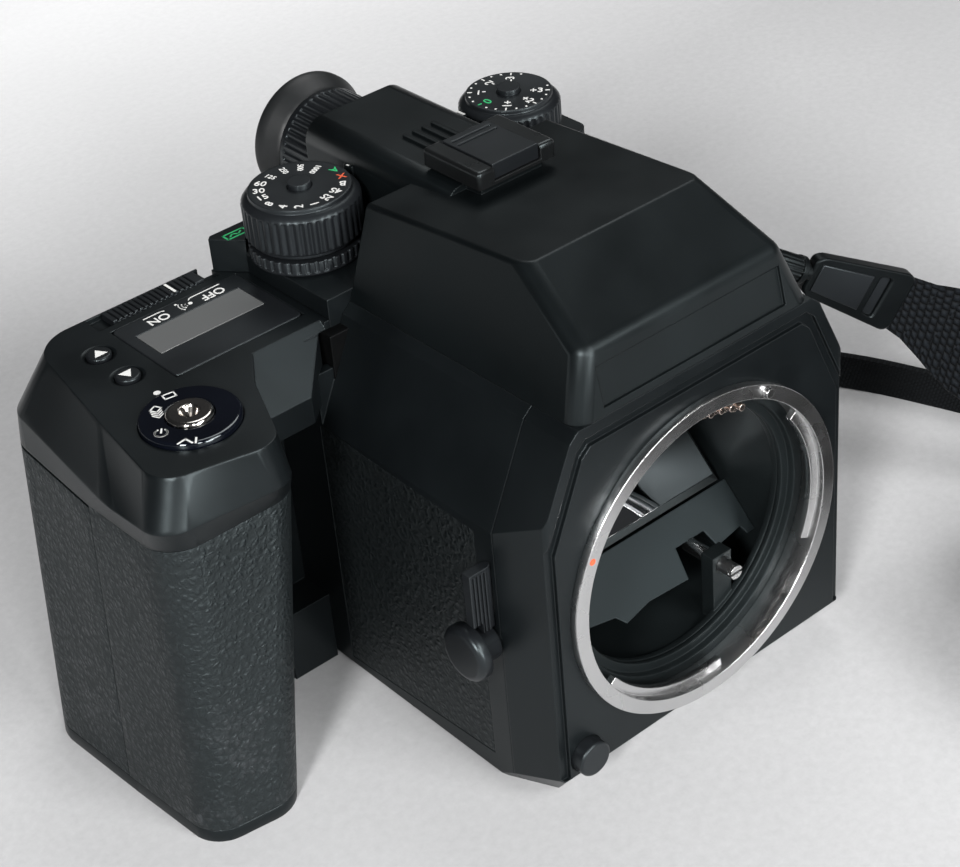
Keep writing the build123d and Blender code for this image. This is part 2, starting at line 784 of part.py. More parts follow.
def grip_core():
    """Moulded grip body: front shell, base trim and the wall that joins it to the body."""
    core = grip_loft(grip_base_z, grip_trim_h, 0) + grip_loft(grip_trim_h, grip_cover_z, grip_skin_t)
    core -= holder_zone(0)
    core -= tray_block(seat_gap)
    bridge = block((-57.0, -body_half_w), (web_face_depth, body_rear_depth), (0, grip_cover_z))
    bridge -= block((-57.5, 1 - body_half_w), (web_face_depth - 1, pocket_depth), (web_h, grip_cover_z + 1))
    return core + bridge


def grip_skin():
    """Leather grained rubber round the front of the grip."""
    skin = grip_loft(grip_trim_h, grip_cover_z, 0) - grip_loft(grip_trim_h, grip_cover_z, grip_skin_t)
    skin &= block((-120, -57.0), (0, holder_seam_depth - cover_gap), (0, grip_cover_z))
    skin -= tray_block(seat_gap)
    return max(skin.solids(), key=lambda part: part.volume)


def battery_holder():
    """Rear of the grip with the battery tray; it draws out to the rear."""
    shell = grip_loft(grip_trim_h, grip_cover_z, 0) & holder_zone(cover_gap)
    shell += tray_block(0)
    for cell in cells(cover_gap):
        shell -= cell
    top = holder_face_depth() - key_seat_t
    shell -= rod_y(key_x(), (top, body_rear_depth + 9), key_z, key_r + turn_gap)
    return max(shell.solids(), key=lambda part: part.volume)


def battery_key():
    """Folding key of the battery holder: a disc with a grip bar."""
    face = holder_face_depth()
    disc = rod_y(key_x(), (face - key_seat_t + 0.05, face), key_z, key_r)
    bar = block((key_x() - 5, key_x() + 5), (face, face + 2), (key_z - 1.1, key_z + 1.1))
    return disc + bar


def grip_top_cover():
    """Cover on top of the grip with the seats of its controls, reaching in to the deck by a facet."""
    solid = cover_loft()
    rear = grip_top[-1][1]
    solid += block((-57.0, -body_half_w - cover_gap), (bridge_face_depth, rear), (grip_cover_z, grip_top_z))
    plate_low = chamber_top_z + chamber_lid_t + cover_gap
    depth = (finder_rear_depth + cover_gap, body_rear_depth)
    solid += block((-body_half_w - 1, -deck_left_w - cover_gap), depth, (plate_low, grip_top_z))
    facet, room = facet_parts()
    solid = solid - room + facet
    solid -= block((-body_half_w - cover_gap, 0), (body_rear_depth, 130), (0, plate_low + 9))
    solid -= rod_z(drive_x, drive_depth, (grip_top_z - drive_sink, grip_top_z + 9), drive_r + turn_gap)
    solid -= rod_z(drive_x, drive_depth, (grip_top_z - 9, grip_top_z + 9), shutter_button_r + turn_gap)
    for x, depth in (up_button_at, down_button_at):
        dish = Cone(button_dish_r - 1, button_dish_r, button_dish_h)
        solid -= Pos(x, at(depth), grip_top_z - button_dish_h / 2) * dish
        solid -= rod_z(x, depth, (grip_top_z - 6, grip_top_z + 9), set_button_r + turn_gap)
    frame = (display_x[0] - cover_gap, display_x[1] + cover_gap)
    depth = (display_depth[0] - cover_gap, display_depth[1] + cover_gap)
    solid -= block(frame, depth, (grip_top_z - display_sink, grip_top_z + 9))
    slot = (switch_x[0] - switch_travel - seat_gap, switch_x[1] + switch_travel + seat_gap)
    depth = (switch_depth[0] - seat_gap, switch_depth[1] + seat_gap)
    solid -= block(slot, depth, (grip_top_z - switch_sink, grip_top_z + 9))
    return max(solid.solids(), key=lambda part: part.volume)


def display_frame():
    """Raised frame round the information display."""
    solid = block(display_x, display_depth, (grip_top_z - display_sink, grip_top_z + display_frame_h))
    solid = fillet(solid.edges().filter_by(Axis.Z), 1.5)
    solid = chamfer(solid.faces().sort_by(Axis.Z)[-1].edges(), display_frame_h)
    room = (window_x[0] - cover_gap, window_x[1] + cover_gap)
    depth = (window_depth[0] - cover_gap, window_depth[1] + cover_gap)
    return solid - block(room, depth, (grip_top_z - 1, grip_top_z + 9))


def display_window():
    """Clear window of the display."""
    return block(window_x, window_depth, (grip_top_z - 1, grip_top_z + 0.2))


def set_button(place):
    """A small round setting button."""
    x, depth = place
    solid = rod_z(x, depth, (grip_top_z - 4, grip_top_z + set_button_proud), set_button_r)
    return fillet(solid.edges().sort_by(Axis.Z)[-1], 0.4)


def main_switch():
    """Ribbed slider of the main switch."""
    solid = block(switch_x, switch_depth, (grip_top_z - switch_sink + 0.05, grip_top_z + switch_h))
    pitch = 1.3
    count = int((switch_x[1] - switch_x[0]) / pitch) - 1
    for i in range(count):
        x = switch_x[0] + (i + 1) * pitch
        solid -= block((x - 0.25, x + 0.25), (0, 200), (grip_top_z + switch_h - 0.5, grip_top_z + 9))
    return solid


def drive_dial():
    """Ring round the shutter release with a finger tab."""
    ring = rod_z(drive_x, drive_depth, (grip_top_z - drive_sink + 0.05, grip_top_z + drive_h), drive_r)
    ring = fillet(ring.edges().sort_by(Axis.Z)[-1], 0.7)
    return ring - rod_z(drive_x, drive_depth, (grip_top_z - 9, grip_top_z + 9), shutter_button_r + turn_gap)


def shutter_button():
    """Bright release button with a cone for the cable release."""
    top = grip_top_z + shutter_button_proud
    solid = rod_z(drive_x, drive_depth, (grip_top_z - 6, top), shutter_button_r)
    solid = fillet(solid.edges().sort_by(Axis.Z)[-1], 0.8)
    cone = Pos(drive_x, at(drive_depth), top - 1.5) * Cone(0.8, cable_cone_r, 3.0)
    return solid - cone


def hot_shoe():
    """Accessory shoe: base plate with a rounded rail on each side."""
    span = (shoe_front_depth, shoe_rear_depth)
    solid = block((-shoe_half_w, shoe_half_w), span, (shoe_base_z, shoe_top_z))
    solid = fillet(solid.edges().filter_by(Axis.Z), shoe_edge_r)
    rails = solid.edges().filter_by(lambda e: e.center().Z > shoe_top_z - 0.1)
    solid = fillet(rails, shoe_edge_r)
    slot_low = shoe_base_z + shoe_base_t
    slot_high = shoe_top_z - shoe_lip_t
    longer = (shoe_front_depth + 2.0, shoe_rear_depth + 1)
    solid -= block((-shoe_slot_half_w, shoe_slot_half_w), longer, (slot_low, slot_high))
    return solid - block((-shoe_lip_half_w, shoe_lip_half_w), (span[0] - 1, span[1] + 1), (slot_low, shoe_top_z + 1))


def hot_shoe_cover():
    """Plastic cover that slides out of the shoe to the rear."""
    low = shoe_base_z + shoe_base_t + shoe_fit
    high = shoe_top_z - shoe_lip_t - shoe_fit
    wide = shoe_slot_half_w - shoe_fit
    narrow = shoe_lip_half_w - shoe_fit
    depth = (shoe_front_depth + 2.0 + shoe_fit, shoe_rear_depth)
    solid = block((-wide, wide), depth, (low, high))
    solid += block((-narrow, narrow), (shoe_front_depth + 0.6, shoe_rear_depth - 1.5), (low, shoe_cover_top_z))
    for offset in (3.4, 5.4):
        rear = shoe_rear_depth - offset
        solid -= block((-narrow + 1, narrow - 1), (rear - 0.5, rear), (shoe_cover_top_z - 0.5, 130))
    return solid


def diopter_ring():
    """Ribbed ring that focuses the eyepiece."""
    depth = (diopter_front_depth, diopter_rear_depth)
    ring = rod_y(0, depth, eye_z, diopter_r)
    count = 48
    for i in range(count):
        angle = 2 * pi * i / count
        x = (diopter_r + 0.25) * cos(angle)
        z = eye_z + (diopter_r + 0.25) * sin(angle)
        ring -= rod_y(x, (depth[0] + 2, depth[1] - 1.5), z, 0.55)
    return ring - rod_y(0, (depth[0] - 1, depth[1] + 1), eye_z, eyepiece_r)


def eyecup():
    """Rubber eyecup: a flared ring with a soft lip."""
    front = diopter_rear_depth
    rear = eyecup_rear_depth
    cone_length = rear - front - eyecup_lip_t
    cone = Pos(0, at(front + cone_length / 2), eye_z) * Rot(-90, 0, 0) * Cone(diopter_r - 0.5, eyecup_r, cone_length)
    lip = rod_y(0, (rear - eyecup_lip_t, rear), eye_z, eyecup_r)
    lip = fillet(lip.edges().sort_by(Axis.Y)[-1], 0.9)
    return cone + lip - rod_y(0, (front - 1, rear + 1), eye_z, eyepiece_r)


def shutter_frame():
    """Plate that carries the focal plane shutter, with room below the gate for its open blades."""
    half = box_half_w + box_wall + 4
    z = (axis_z - shutter_below, axis_z + shutter_above)
    solid = block((-half, half), (shutter_depth, shutter_depth + shutter_t), z)
    slot_front = shutter_depth + shutter_face_t
    slot = block((-half + 2, half - 2), (slot_front, slot_front + shutter_slot_t), (z[0] + 1.5, z[1] - 1))
    gate = block((-gate_half_w, gate_half_w), (0, 100), (axis_z - gate_half_h, axis_z + gate_half_h))
    return solid - slot - gate


def film_back():
    """Rear plate of the film holder with its latch seat, memo frame and room for the eyecup above."""
    x = chamber_half_w - holder_gap
    z = (chamber_floor_z + holder_gap, chamber_top_z - holder_gap)
    front = holder_rear_depth - holder_plate_t
    plate = block((-x, x), (front, holder_rear_depth), z)
    plate = fillet(plate.edges().filter_by(Axis.Y), 3.0)
    rear_face = plate.faces().sort_by(Axis.Y)[-1]
    plate = fillet(rear_face.edges(), 1.0)
    plate -= rod_y(0, (front - 1, holder_rear_depth + 1), eye_z, eyecup_r + seat_gap)
    memo = block((memo_x - memo_half_w, memo_x + memo_half_w), (holder_rear_depth, holder_rear_depth + memo_t),
                 (axis_z - memo_half_h, axis_z + memo_half_h))
    memo = fillet(memo.edges().filter_by(Axis.Y), 2.0)
    pocket = block((memo_x - memo_half_w + 3, memo_x + memo_half_w - 3),
                   (holder_rear_depth + 0.4, holder_rear_depth + 9),
                   (axis_z - memo_half_h + 3, axis_z + memo_half_h + 1))
    seat = rod_y(latch_x, (holder_rear_depth - latch_seat_t, holder_rear_depth + 9), latch_z, latch_r + turn_gap)
    return plate + (memo - pocket) - seat


def latch_key():
    """Folding key of the film holder."""
    disc = rod_y(latch_x, (holder_rear_depth - latch_seat_t + 0.05, holder_rear_depth), latch_z, latch_r)
    bar = block((latch_x - 6.5, latch_x + 6.5), (holder_rear_depth, holder_rear_depth + 2.2),
                (latch_z - 1.4, latch_z + 1.4))
    return disc + bar


def film_insert():
    """Frame of the film holder: cheeks, rollers and the pressure plate behind the gate."""
    x = chamber_half_w - holder_gap - 1.0
    z = (chamber_floor_z + holder_gap + 1, chamber_top_z - holder_gap - 1)
    rear = holder_rear_depth - holder_plate_t
    front = chamber_front_depth + 1.6
    frame = block((-x, x), (front + 0.5, front + 0.5 + pressure_t),
                  (axis_z - gate_half_h - 1, axis_z + gate_half_h + 1))
    for side in (-1, 1):
        span = sorted((side * (x - cheek_t), side * x))
        cheek = block(span, (front, rear), z)
        for offset in (supply_offset, takeup_offset):
            cheek -= rod_x((span[0] - 1, span[1] + 1), spool_depth, axis_z + offset, axle_r + turn_gap)
        frame += cheek
    for offset in (-roller_offset, roller_offset):
        frame += rod_x((cheek_t - x, x - cheek_t), front + roller_r + 0.1, axis_z + offset, roller_r)
    return frame + block((-6, 6), (front + 0.5, rear), (axis_z - 6, axis_z + 6))


def spool(offset, roll_r):
    """A film spool on its axles, with the film wound on it."""
    z = axis_z + offset
    solid = rod_x((-spool_half_w, spool_half_w), spool_depth, z, roll_r)
    for side in (-1, 1):
        span = sorted((side * (spool_half_w - spool_flange_t), side * spool_half_w))
        solid += rod_x(span, spool_depth, z, spool_r)
    reach = chamber_half_w - holder_gap - 1.0
    return solid + rod_x((-reach, reach), spool_depth, z, axle_r)


def preview_lever():
    """Ribbed depth of field lever beside the front corner, on its upright pivot; it is narrower beside the stud."""
    outer = -body_half_w - lever_reach
    depth = (lever_depth, lever_depth + lever_t)
    solid = block((outer, lever_pivot_x()), depth, (lever_step_z, lever_z[1]))
    solid += block((-body_half_w - lever_low_reach, lever_pivot_x()), depth, (lever_z[0], lever_step_z))
    for i in range(5):
        rib = outer + 0.7 + i * 0.95
        solid -= block((rib, rib + 0.4), (depth[0] - 1, depth[0] + 0.5), (lever_z[0] - 1, lever_z[1] - 0.8))
    return solid + rod_z(lever_pivot_x(), lever_depth + lever_t / 2, lever_z, lever_pivot_r)


def strap_studs():
    """Mushroom studs for the strap: one at the grip side and two at the far side."""
    solids = [shoulder_lug(stud_neck_r - 0.05, stud_head_r)]
    for side, depth, z in ((-1, stud_depth, stud_z), (1, low_lug_depth, low_lug_z)):
        inner = side * (body_half_w - wall)
        collar = side * (body_half_w + panel_t)
        under = side * (body_half_w + stud_length - stud_head_t)
        tip = side * (body_half_w + stud_length)
        neck = rod_x(sorted((inner, under)), depth, z, stud_neck_r - 0.05)
        neck += rod_x(sorted((collar, under)), depth, z, stud_collar_r)
        head = rod_x(sorted((under, tip)), depth, z, stud_head_r)
        rim = head.edges().sort_by(Axis.X)[0 if side < 0 else -1]
        solids.append(neck + fillet(rim, stud_head_t * 0.5))
    return Compound(solids)


def focus_switch():
    """Round focus mode switch on the far side, with a finger bar."""
    disc = rod_x((body_half_w - 3, body_half_w + 1.2), focus_switch_depth, focus_switch_z, focus_switch_r)
    bar = block((body_half_w + 1.2, body_half_w + 3.0), (focus_switch_depth - 1.2, focus_switch_depth + 1.2),
                (focus_switch_z - 5, focus_switch_z + 5))
    return disc + bar


def af_shaft():
    """Screwdriver shaft of the autofocus drive."""
    solid = rod_y(af_x, (af_front_depth, af_front_depth + af_length), af_z, af_r)
    return solid - block((af_x - 2, af_x + 2), (af_front_depth - 1, af_front_depth + 1), (af_z - 0.3, af_z + 0.3))


def release_button():
    """Lens release button at the lower corner of the front."""
    solid = rod_y(release_x, (front_face_depth - release_proud, front_face_depth + 5), release_z, release_r)
    return fillet(solid.edges().sort_by(Axis.Y)[0], 0.6)


def wind_motor():
    """Film winding motor beside the mirror box."""
    motor = rod_z(motor_x, motor_depth, (base_t, motor_top_z), motor_r)
    return motor + rod_z(motor_x, motor_depth, (motor_top_z, motor_top_z + 6), motor_shaft_r)


def main_frame_room():
    """The space that the cast frame takes."""
    x = chamber_half_w + frame_wall
    depth = (chamber_front_depth - frame_wall, body_rear_depth + 1)
    return block((-x, x), depth, (base_t, chamber_top_z + chamber_lid_t))


def shoulder_point():
    """Where the upper strap stud leaves the sloping shoulder, and the way that it points."""
    share = (lug_z - shoulder_low_z) / (shoulder_top_z - shoulder_low_z)
    x = body_half_w + (shoulder_half_w - body_half_w) * share
    rise = shoulder_top_z - shoulder_low_z
    run = body_half_w - shoulder_half_w
    length = hypot(rise, run)
    return x, rise / length, run / length


def shoulder_lug(radius, head=0.0):
    """The upper strap stud on the far shoulder, square to its slope."""
    x, nx, nz = shoulder_point()
    tilt = degrees(atan2(nx, nz))
    neck = Pos(0, 0, (lug_length - wall) / 2) * Cylinder(radius, lug_length + wall)
    if head:
        neck += Pos(0, 0, lug_length - 0.8) * Cylinder(head, 1.6)
    return Pos(x, at(lug_depth), lug_z) * Rot(0, tilt, 0) * neck


def ring_pin_place():
    """Where the lens lock pin stands on the mount ring, in x and z."""
    angle = radians(lock_pin_angle)
    middle = (ring_bore_r + ring_r) / 2
    return middle * cos(angle), axis_z + middle * sin(angle)


def inset_corners(corners, inset):
    """The corners of an outline whose sides have moved in by a skin or wall."""
    sides = []
    for (x0, d0, _), (x1, d1, _) in zip(corners, corners[1:]):
        length = hypot(x1 - x0, d1 - d0)
        shift = (inset * (d1 - d0) / length, -inset * (x1 - x0) / length)
        sides.append(((x0 + shift[0], d0 + shift[1]), (x1 - x0, d1 - d0)))
    closing = ((corners[0][0], 0.0), (0.0, 1.0))
    lines = [closing] + sides + [closing]
    moved = []
    for (p, u), (q, v), corner in zip(lines, lines[1:], corners):
        cross = u[0] * v[1] - u[1] * v[0]
        step = ((q[0] - p[0]) * v[1] - (q[1] - p[1]) * v[0]) / cross
        radius = max(corner[2] - inset, 0.5) if corner[2] else 0
        moved.append((p[0] + step * u[0], p[1] + step * u[1], radius))
    return moved


def outline_face(corners, z):
    """A flat face at a height: sides with round corners and a straight side towards the body."""
    points = [(x, at(d), z) for x, d, _ in corners]
    path = FilletPolyline(*points, radius=[r for _, _, r in corners[1:-1]])
    return make_face([path, Line(points[-1], points[0])])


def grip_corners(z, inset):
    """Corners of the grip below its cover at a height."""
    share = (z - grip_base_z) / (grip_cover_z - grip_base_z)
    corners = [tuple(a + (b - a) * share for a, b in zip(low, high)) for low, high in zip(grip_base, grip_waist)]
    return inset_corners(corners, inset)


def key_x():
    """The battery key stands between the inner cells' axis and the body."""
    return cell_x[1] + 2.0


def holder_face_depth():
    """Depth of the grip's rear face at the height of the battery key."""
    share = (key_z - grip_base_z) / (grip_cover_z - grip_base_z)
    return grip_base[-1][1] + (grip_waist[-1][1] - grip_base[-1][1]) * share


def band(route, half_w):
    """A flat band on edge: its plan route drawn up, then cut to its rising edges."""
    radii = []
    for a, b, c in zip(route, route[1:], route[2:]):
        one = Vector(b[0] - a[0], b[1] - a[1])
        two = Vector(c[0] - b[0], c[1] - b[1])
        radii.append(0.45 * min(one.length, two.length) / tan(radians(one.get_angle(two)) / 2))
    print("band radii", [round(r, 1) for r in radii])
    plan = FilletPolyline(*[(x, at(d), 0) for x, d, _ in route], radius=radii)
    edges = [(x, z + w) for (x, _, z), w in zip(route, half_w)]
    edges += [(x, z - w) for (x, _, z), w in reversed(list(zip(route, half_w)))]
    top = max(z for _, z in edges) + 1
    strip = thicken_path(plan, strap_t)
    side = make_face(Polyline([(x, at(-200), z) for x, z in edges], close=True))
    return extrude(strip, amount=top, dir=(0, 0, 1)) & extrude(side, amount=400, dir=(0, 1, 0))


def thicken_path(path, thickness):
    """A flat strip of one thickness along a plan route; its two sides run opposite ways."""
    wire = path if isinstance(path, Wire) else Wire(path.edges())
    left = wire.offset_2d(thickness / 2, side=Side.LEFT, closed=False)
    right = wire.offset_2d(thickness / 2, side=Side.RIGHT, closed=False)
    caps = [Line(left @ 0, right @ 1), Line(left @ 1, right @ 0)]
    return make_face(list(left.edges()) + list(right.edges()) + caps)


def strap_coil():
    """The length of strap that lies put away: a double spiral on edge, made of half turns."""
    arcs = []
    cx, cd = coil_centre
    for arm, turns in ((1, coil_half_turns), (-1, coil_half_turns + 1)):
        for i in range(turns):
            r = coil_first_r + i * coil_pitch
            shift = coil_pitch / 2 if i % 2 == 0 else -coil_pitch / 2
            side = 1 if i % 2 == 0 else -1
            ends = [(shift - side * r, 0), (shift, -side * r), (shift + side * r, 0)]
            arcs.append(ThreePointArc(*[(cx + arm * x, at(cd + arm * d), 0) for x, d in ends]))
        inner = (coil_first_r - coil_pitch / 2) / 2
        ends = [(0, 0), (-inner, inner), (-2 * inner, 0)]
        arcs.append(ThreePointArc(*[(cx + arm * x, at(cd + arm * d), 0) for x, d in ends]))
    route = Wire(arcs)
    print("coil length", round(route.length, 1))
    return extrude(thicken_path(route, strap_t), amount=strap_w, dir=(0, 0, 1))


def strap_upper():
    """Free stretch from the upper clip to the coil; it widens from the clip."""
    wide = strap_w / 2
    start = strap_end_w / 2
    return band(strap_upper_route, [start, wide * 0.9] + [wide] * (len(strap_upper_route) - 2))


def strap_lower():
    """Narrow free stretch from the coil round the rear to the lower clip."""
    return band(strap_lower_route, [strap_end_w / 2] * len(strap_lower_route))


def clip_body(start, end, width):
    """A tapered strap clip between a stud and a band's end."""
    run = Vector(*end) - Vector(*start)
    plane = Plane(origin=start, z_dir=run)
    low = Plane(origin=end, z_dir=run, x_dir=plane.x_dir)
    first = plane * Rectangle(clip_t, width * 0.7)
    last = low * Rectangle(clip_t * 0.8, width)
    return loft([first, last])


def strap_clips():
    """Clips at both ends of the strap."""
    x, nx, nz = shoulder_point()
    reach = lug_length + clip_gap
    start = (x + nx * reach, at(lug_depth), lug_z + nz * reach)
    first = strap_upper_route[0]
    upper = clip_body(start, (first[0], at(first[1]), first[2]), strap_end_w)
    last = strap_lower_route[-1]
    begin = (body_half_w + stud_length + seat_gap, at(low_lug_depth), low_lug_z)
    lower = clip_body(begin, (last[0], at(last[1]), last[2]), strap_end_w)
    return Compound([upper, lower])


def shutter_blade(index):
    """One blade of the focal plane shutter; each stands a little further back and lower than the last."""
    front = shutter_depth + shutter_face_t + 0.05 + index * blade_pitch
    half_w = gate_half_w + 3
    high = axis_z + gate_half_h + 1.0 - index * (blade_h - blade_lap)
    return block((-half_w, half_w), (front, front + blade_t), (high - blade_h, high))


def lever_pivot_x():
    """The lever's pivot stands clear of the side cover."""
    return -body_half_w - lever_pivot_r - seat_gap


def index_tab(limits):
    """A small index tab beside a dial, with its foot on the cover."""
    x, depth, z = limits
    tab = block(x, depth, z)
    return fillet(tab.edges().filter_by(Axis.X).sort_by(Axis.Z)[-1], 0.8)


def leather_panel():
    """Thin leather cover in the recess of the grip side, cut round the strap stud."""
    solid = panel_recess(panel_t) & block((-body_half_w, 0), (0, body_rear_depth), (0, crease_z))
    return solid - rod_x((-body_half_w - 1, 0), stud_depth, stud_z, stud_neck_r + cover_gap)


def corner_groove():
    """The shallow channel beside each front corner, which follows the shoulder up to the crease."""
    depth = (front_face_depth - 1, front_face_depth + corner_groove_t)
    solids = []
    for inset in (corner_groove_from, corner_groove_from + corner_groove_w):
        profile = side_profile(inset)
        outline = [(-x, z) for x, z in profile] + list(reversed(profile))
        foot = profile[0][0]
        solids.append(slab_y([(-foot, base_bevel_h)] + outline + [(foot, base_bevel_h)], depth))
    return solids[0] - solids[1]


def facet_parts():
    """The slope of the grip's cover where it meets the side of the body, and the room above it."""
    rear = bridge_face_depth + 1
    lid = chamber_top_z + chamber_lid_t + cover_gap
    slope = [(bridge_face_depth, grip_top_z), (facet_depth, grip_flare_z), (facet_depth, grip_cover_z)]
    slope += [(rear, grip_cover_z), (rear, grip_top_z)]
    run = (bridge_face_depth - facet_depth) / (facet_side[1] - facet_side[0])
    side_x = -body_half_w - cover_gap
    side_depth = facet_depth + run * (side_x - facet_side[0])
    low_plan = [(facet_root_x, rear), (facet_root_x, facet_depth), (facet_side[0], facet_depth)]
    low_plan += [(side_x, side_depth), (side_x, rear)]
    solid = slab_x(slope, (facet_root_x - 1, side_x)) & slab_z(low_plan, (grip_cover_z, grip_top_z))
    front_end = finder_rear_depth - cover_gap
    high = [(bridge_face_depth, grip_top_z), (facet_depth, grip_flare_z), (front_end, grip_flare_z)]
    high += [(front_end, lid), (bridge_face_depth, lid)]
    high_plan = [(side_x - 1, rear), (side_x - 1, side_depth - run), (facet_side[1], bridge_face_depth - 0.01)]
    high_plan += [(facet_side[1], rear)]
    solid += slab_x(high, (side_x - 1, facet_side[1])) & slab_z(high_plan, (grip_flare_z + facet_joint, grip_top_z))
    room = [(bridge_face_depth, grip_top_z), (facet_depth, grip_flare_z), (facet_depth, grip_top_z + 1)]
    room += [(bridge_face_depth, grip_top_z + 1)]
    return solid, slab_x(room, (side_x - 1, facet_side[1]))


def contact_place(i):
    """Where a contact pin stands on its arc about the lens axis, as x and z."""
    angle = radians(contact_first_angle + i * contact_pitch)
    return contact_arc_r * sin(angle), axis_z + contact_arc_r * cos(angle)


def cut_corners(solid, inset=0.0):
    """A solid without the two low front corners of the body."""
    for side in (-1, 1):
        normal = Vector(side / corner_cut_w, -1 / corner_cut_run, -1 / corner_cut_h).normalized()
        point = (side * body_half_w - inset * normal.X, front_face_depth + corner_cut_run - inset * normal.Y,
                 -inset * normal.Z)
        solid = below(solid, point, normal)
    return solid


shapes = {
    "front_housing": front_housing,
    "prism_cover": prism_cover,
    "left_side_cover": left_side_cover,
    "right_side_cover": right_side_cover,
    "leather_panel": leather_panel,
    "base_plate": base_plate,
    "rear_deck": rear_deck,
    "main_frame": main_frame,
    "tripod_bushes": tripod_bushes,
    "mount_ring": mount_ring,
    "lens_lock_pin": lens_lock_pin,
    "mount_baffle": mount_baffle,
    "mount_contacts": mount_contacts,
    "mirror_box": mirror_box,
    "mirror_carrier": mirror_carrier,
    "mirror_glass": mirror_glass,
    "focusing_screen": focusing_screen,
    "pentaprism": pentaprism,
    "eyepiece_lens": eyepiece_lens,
    "shutter_dial": lambda: knob(shutter_dial_x, shutter_dial_depth, shutter_dial_r, shutter_disc_r, 98.6, 44),
    "shutter_dial_button": lambda: dial_button(shutter_dial_x, shutter_dial_depth),
    "comp_dial": lambda: knob(comp_dial_x, comp_dial_depth, comp_dial_r, comp_disc_r, comp_base_z + 0.2, 40),
    "comp_dial_button": lambda: dial_button(comp_dial_x, comp_dial_depth),
    "metering_ring": metering_ring,
    "grip_core": grip_core,
    "grip_skin": grip_skin,
    "battery_holder": battery_holder,
    "battery_cells": lambda: Compound(cells(0)),
    "battery_key": battery_key,
    "grip_top_cover": grip_top_cover,
    "display_frame": display_frame,
    "display_window": display_window,
    "up_button": lambda: set_button(up_button_at),
    "down_button": lambda: set_button(down_button_at),
    "main_switch": main_switch,
    "drive_dial": drive_dial,
    "shutter_button": shutter_button,
    "hot_shoe": hot_shoe,
    "hot_shoe_cover": hot_shoe_cover,
    "diopter_ring": diopter_ring,
    "eyecup": eyecup,
    "shutter_frame": shutter_frame,
    "shutter_blade_1": lambda: shutter_blade(0),
    "shutter_blade_2": lambda: shutter_blade(1),
    "shutter_blade_3": lambda: shutter_blade(2),
    "film_back": film_back,
    "latch_key": latch_key,
    "film_insert": film_insert,
    "supply_spool": lambda: spool(supply_offset, film_roll_r),
    "takeup_spool": lambda: spool(takeup_offset, spool_core_r),
    "preview_lever": preview_lever,
    "strap_studs": strap_studs,
    "strap_clips": strap_clips,
    "strap_upper": strap_upper,
    "strap_coil": strap_coil,
    "strap_lower": strap_lower,
    "focus_switch": focus_switch,
    "af_shaft": af_shaft,
    "lens_release": release_button,
    "wind_motor": wind_motor,
}

for name, make in shapes.items():
    save(make(), name)
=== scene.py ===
import json
from math import cos, pi, radians, sin

import bmesh
import bpy
from mathutils import Matrix, Vector


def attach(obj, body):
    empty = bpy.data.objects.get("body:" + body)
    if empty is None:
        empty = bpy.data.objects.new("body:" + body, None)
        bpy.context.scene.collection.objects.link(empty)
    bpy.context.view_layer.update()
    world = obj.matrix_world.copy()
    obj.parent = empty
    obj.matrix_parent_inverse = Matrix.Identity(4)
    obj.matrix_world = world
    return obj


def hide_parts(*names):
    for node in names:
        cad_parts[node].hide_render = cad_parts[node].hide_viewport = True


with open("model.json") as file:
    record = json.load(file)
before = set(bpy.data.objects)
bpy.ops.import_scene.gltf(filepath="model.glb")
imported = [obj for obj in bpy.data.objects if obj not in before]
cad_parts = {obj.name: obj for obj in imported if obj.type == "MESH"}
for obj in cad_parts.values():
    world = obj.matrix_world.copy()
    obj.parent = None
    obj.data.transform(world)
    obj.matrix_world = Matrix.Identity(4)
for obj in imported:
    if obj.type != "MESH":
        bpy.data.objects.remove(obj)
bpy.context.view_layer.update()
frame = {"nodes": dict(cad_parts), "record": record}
nodes = frame["nodes"]

# Lengths are in millimetres up to the helper at(), which gives metres.
# A depth is measured back from the lens mount face; x runs to the far side and z upwards.
mm = 0.001
mount_y = -45.0
axis_z = 46.0
right = Vector((1, 0, 0))
rear = Vector((0, 1, 0))
upward = Vector((0, 0, 1))

# Camera, as fitted to the photograph
view_azimuth = radians(-37.58)
view_elevation = radians(34.65)
view_roll = radians(5.43)
view_place = (-253.7, -255.6, 328.2)
view_lens = 82.5
view_sensor_w = 36.0
view_near = 10.0


def at(x, depth, z):
    """A place in the frame, from x, depth and height."""
    return Vector((x, depth + mount_y, z)) * mm


def new_object(name, data):
    """An object in the scene, from its data."""
    obj = bpy.data.objects.new(name, data)
    bpy.context.scene.collection.objects.link(obj)
    return obj


def camera():
    """The photograph's viewpoint."""
    back = Vector((sin(view_azimuth) * cos(view_elevation), -cos(view_azimuth) * cos(view_elevation),
                   sin(view_elevation)))
    level = (-back).cross(upward).normalized()
    down = (-back).cross(level)
    side = cos(view_roll) * level + sin(view_roll) * down
    under = -sin(view_roll) * level + cos(view_roll) * down
    data = bpy.data.cameras.new("camera")
    data.lens = view_lens
    data.sensor_width = view_sensor_w
    data.clip_start = view_near * mm
    obj = new_object("camera", data)
    facing = Matrix((side, -under, back)).transposed().to_4x4()
    obj.matrix_world = Matrix.Translation(at(*view_place)) @ facing
    bpy.context.scene.camera = obj


camera()


# Materials

def add(tree, kind, inputs=None, **settings):
    """A node with its settings, and its inputs by name or number as values or links."""
    node = tree.nodes.new("ShaderNode" + kind)
    for key, value in settings.items():
        setattr(node, key, value)
    for key, value in (inputs or {}).items():
        if isinstance(value, bpy.types.NodeSocket):
            tree.links.new(value, node.inputs[key])
        else:
            node.inputs[key].default_value = value
    return node


def maths(tree, operation, a, b=0.0):
    """The result of a sum, product or other operation on two values."""
    return add(tree, "Math", {0: a, 1: b}, operation=operation).outputs[0]


def vectors(tree, operation, a, b):
    """The result of an operation on two vectors."""
    return add(tree, "VectorMath", {0: a, 1: b}, operation=operation).outputs[0]


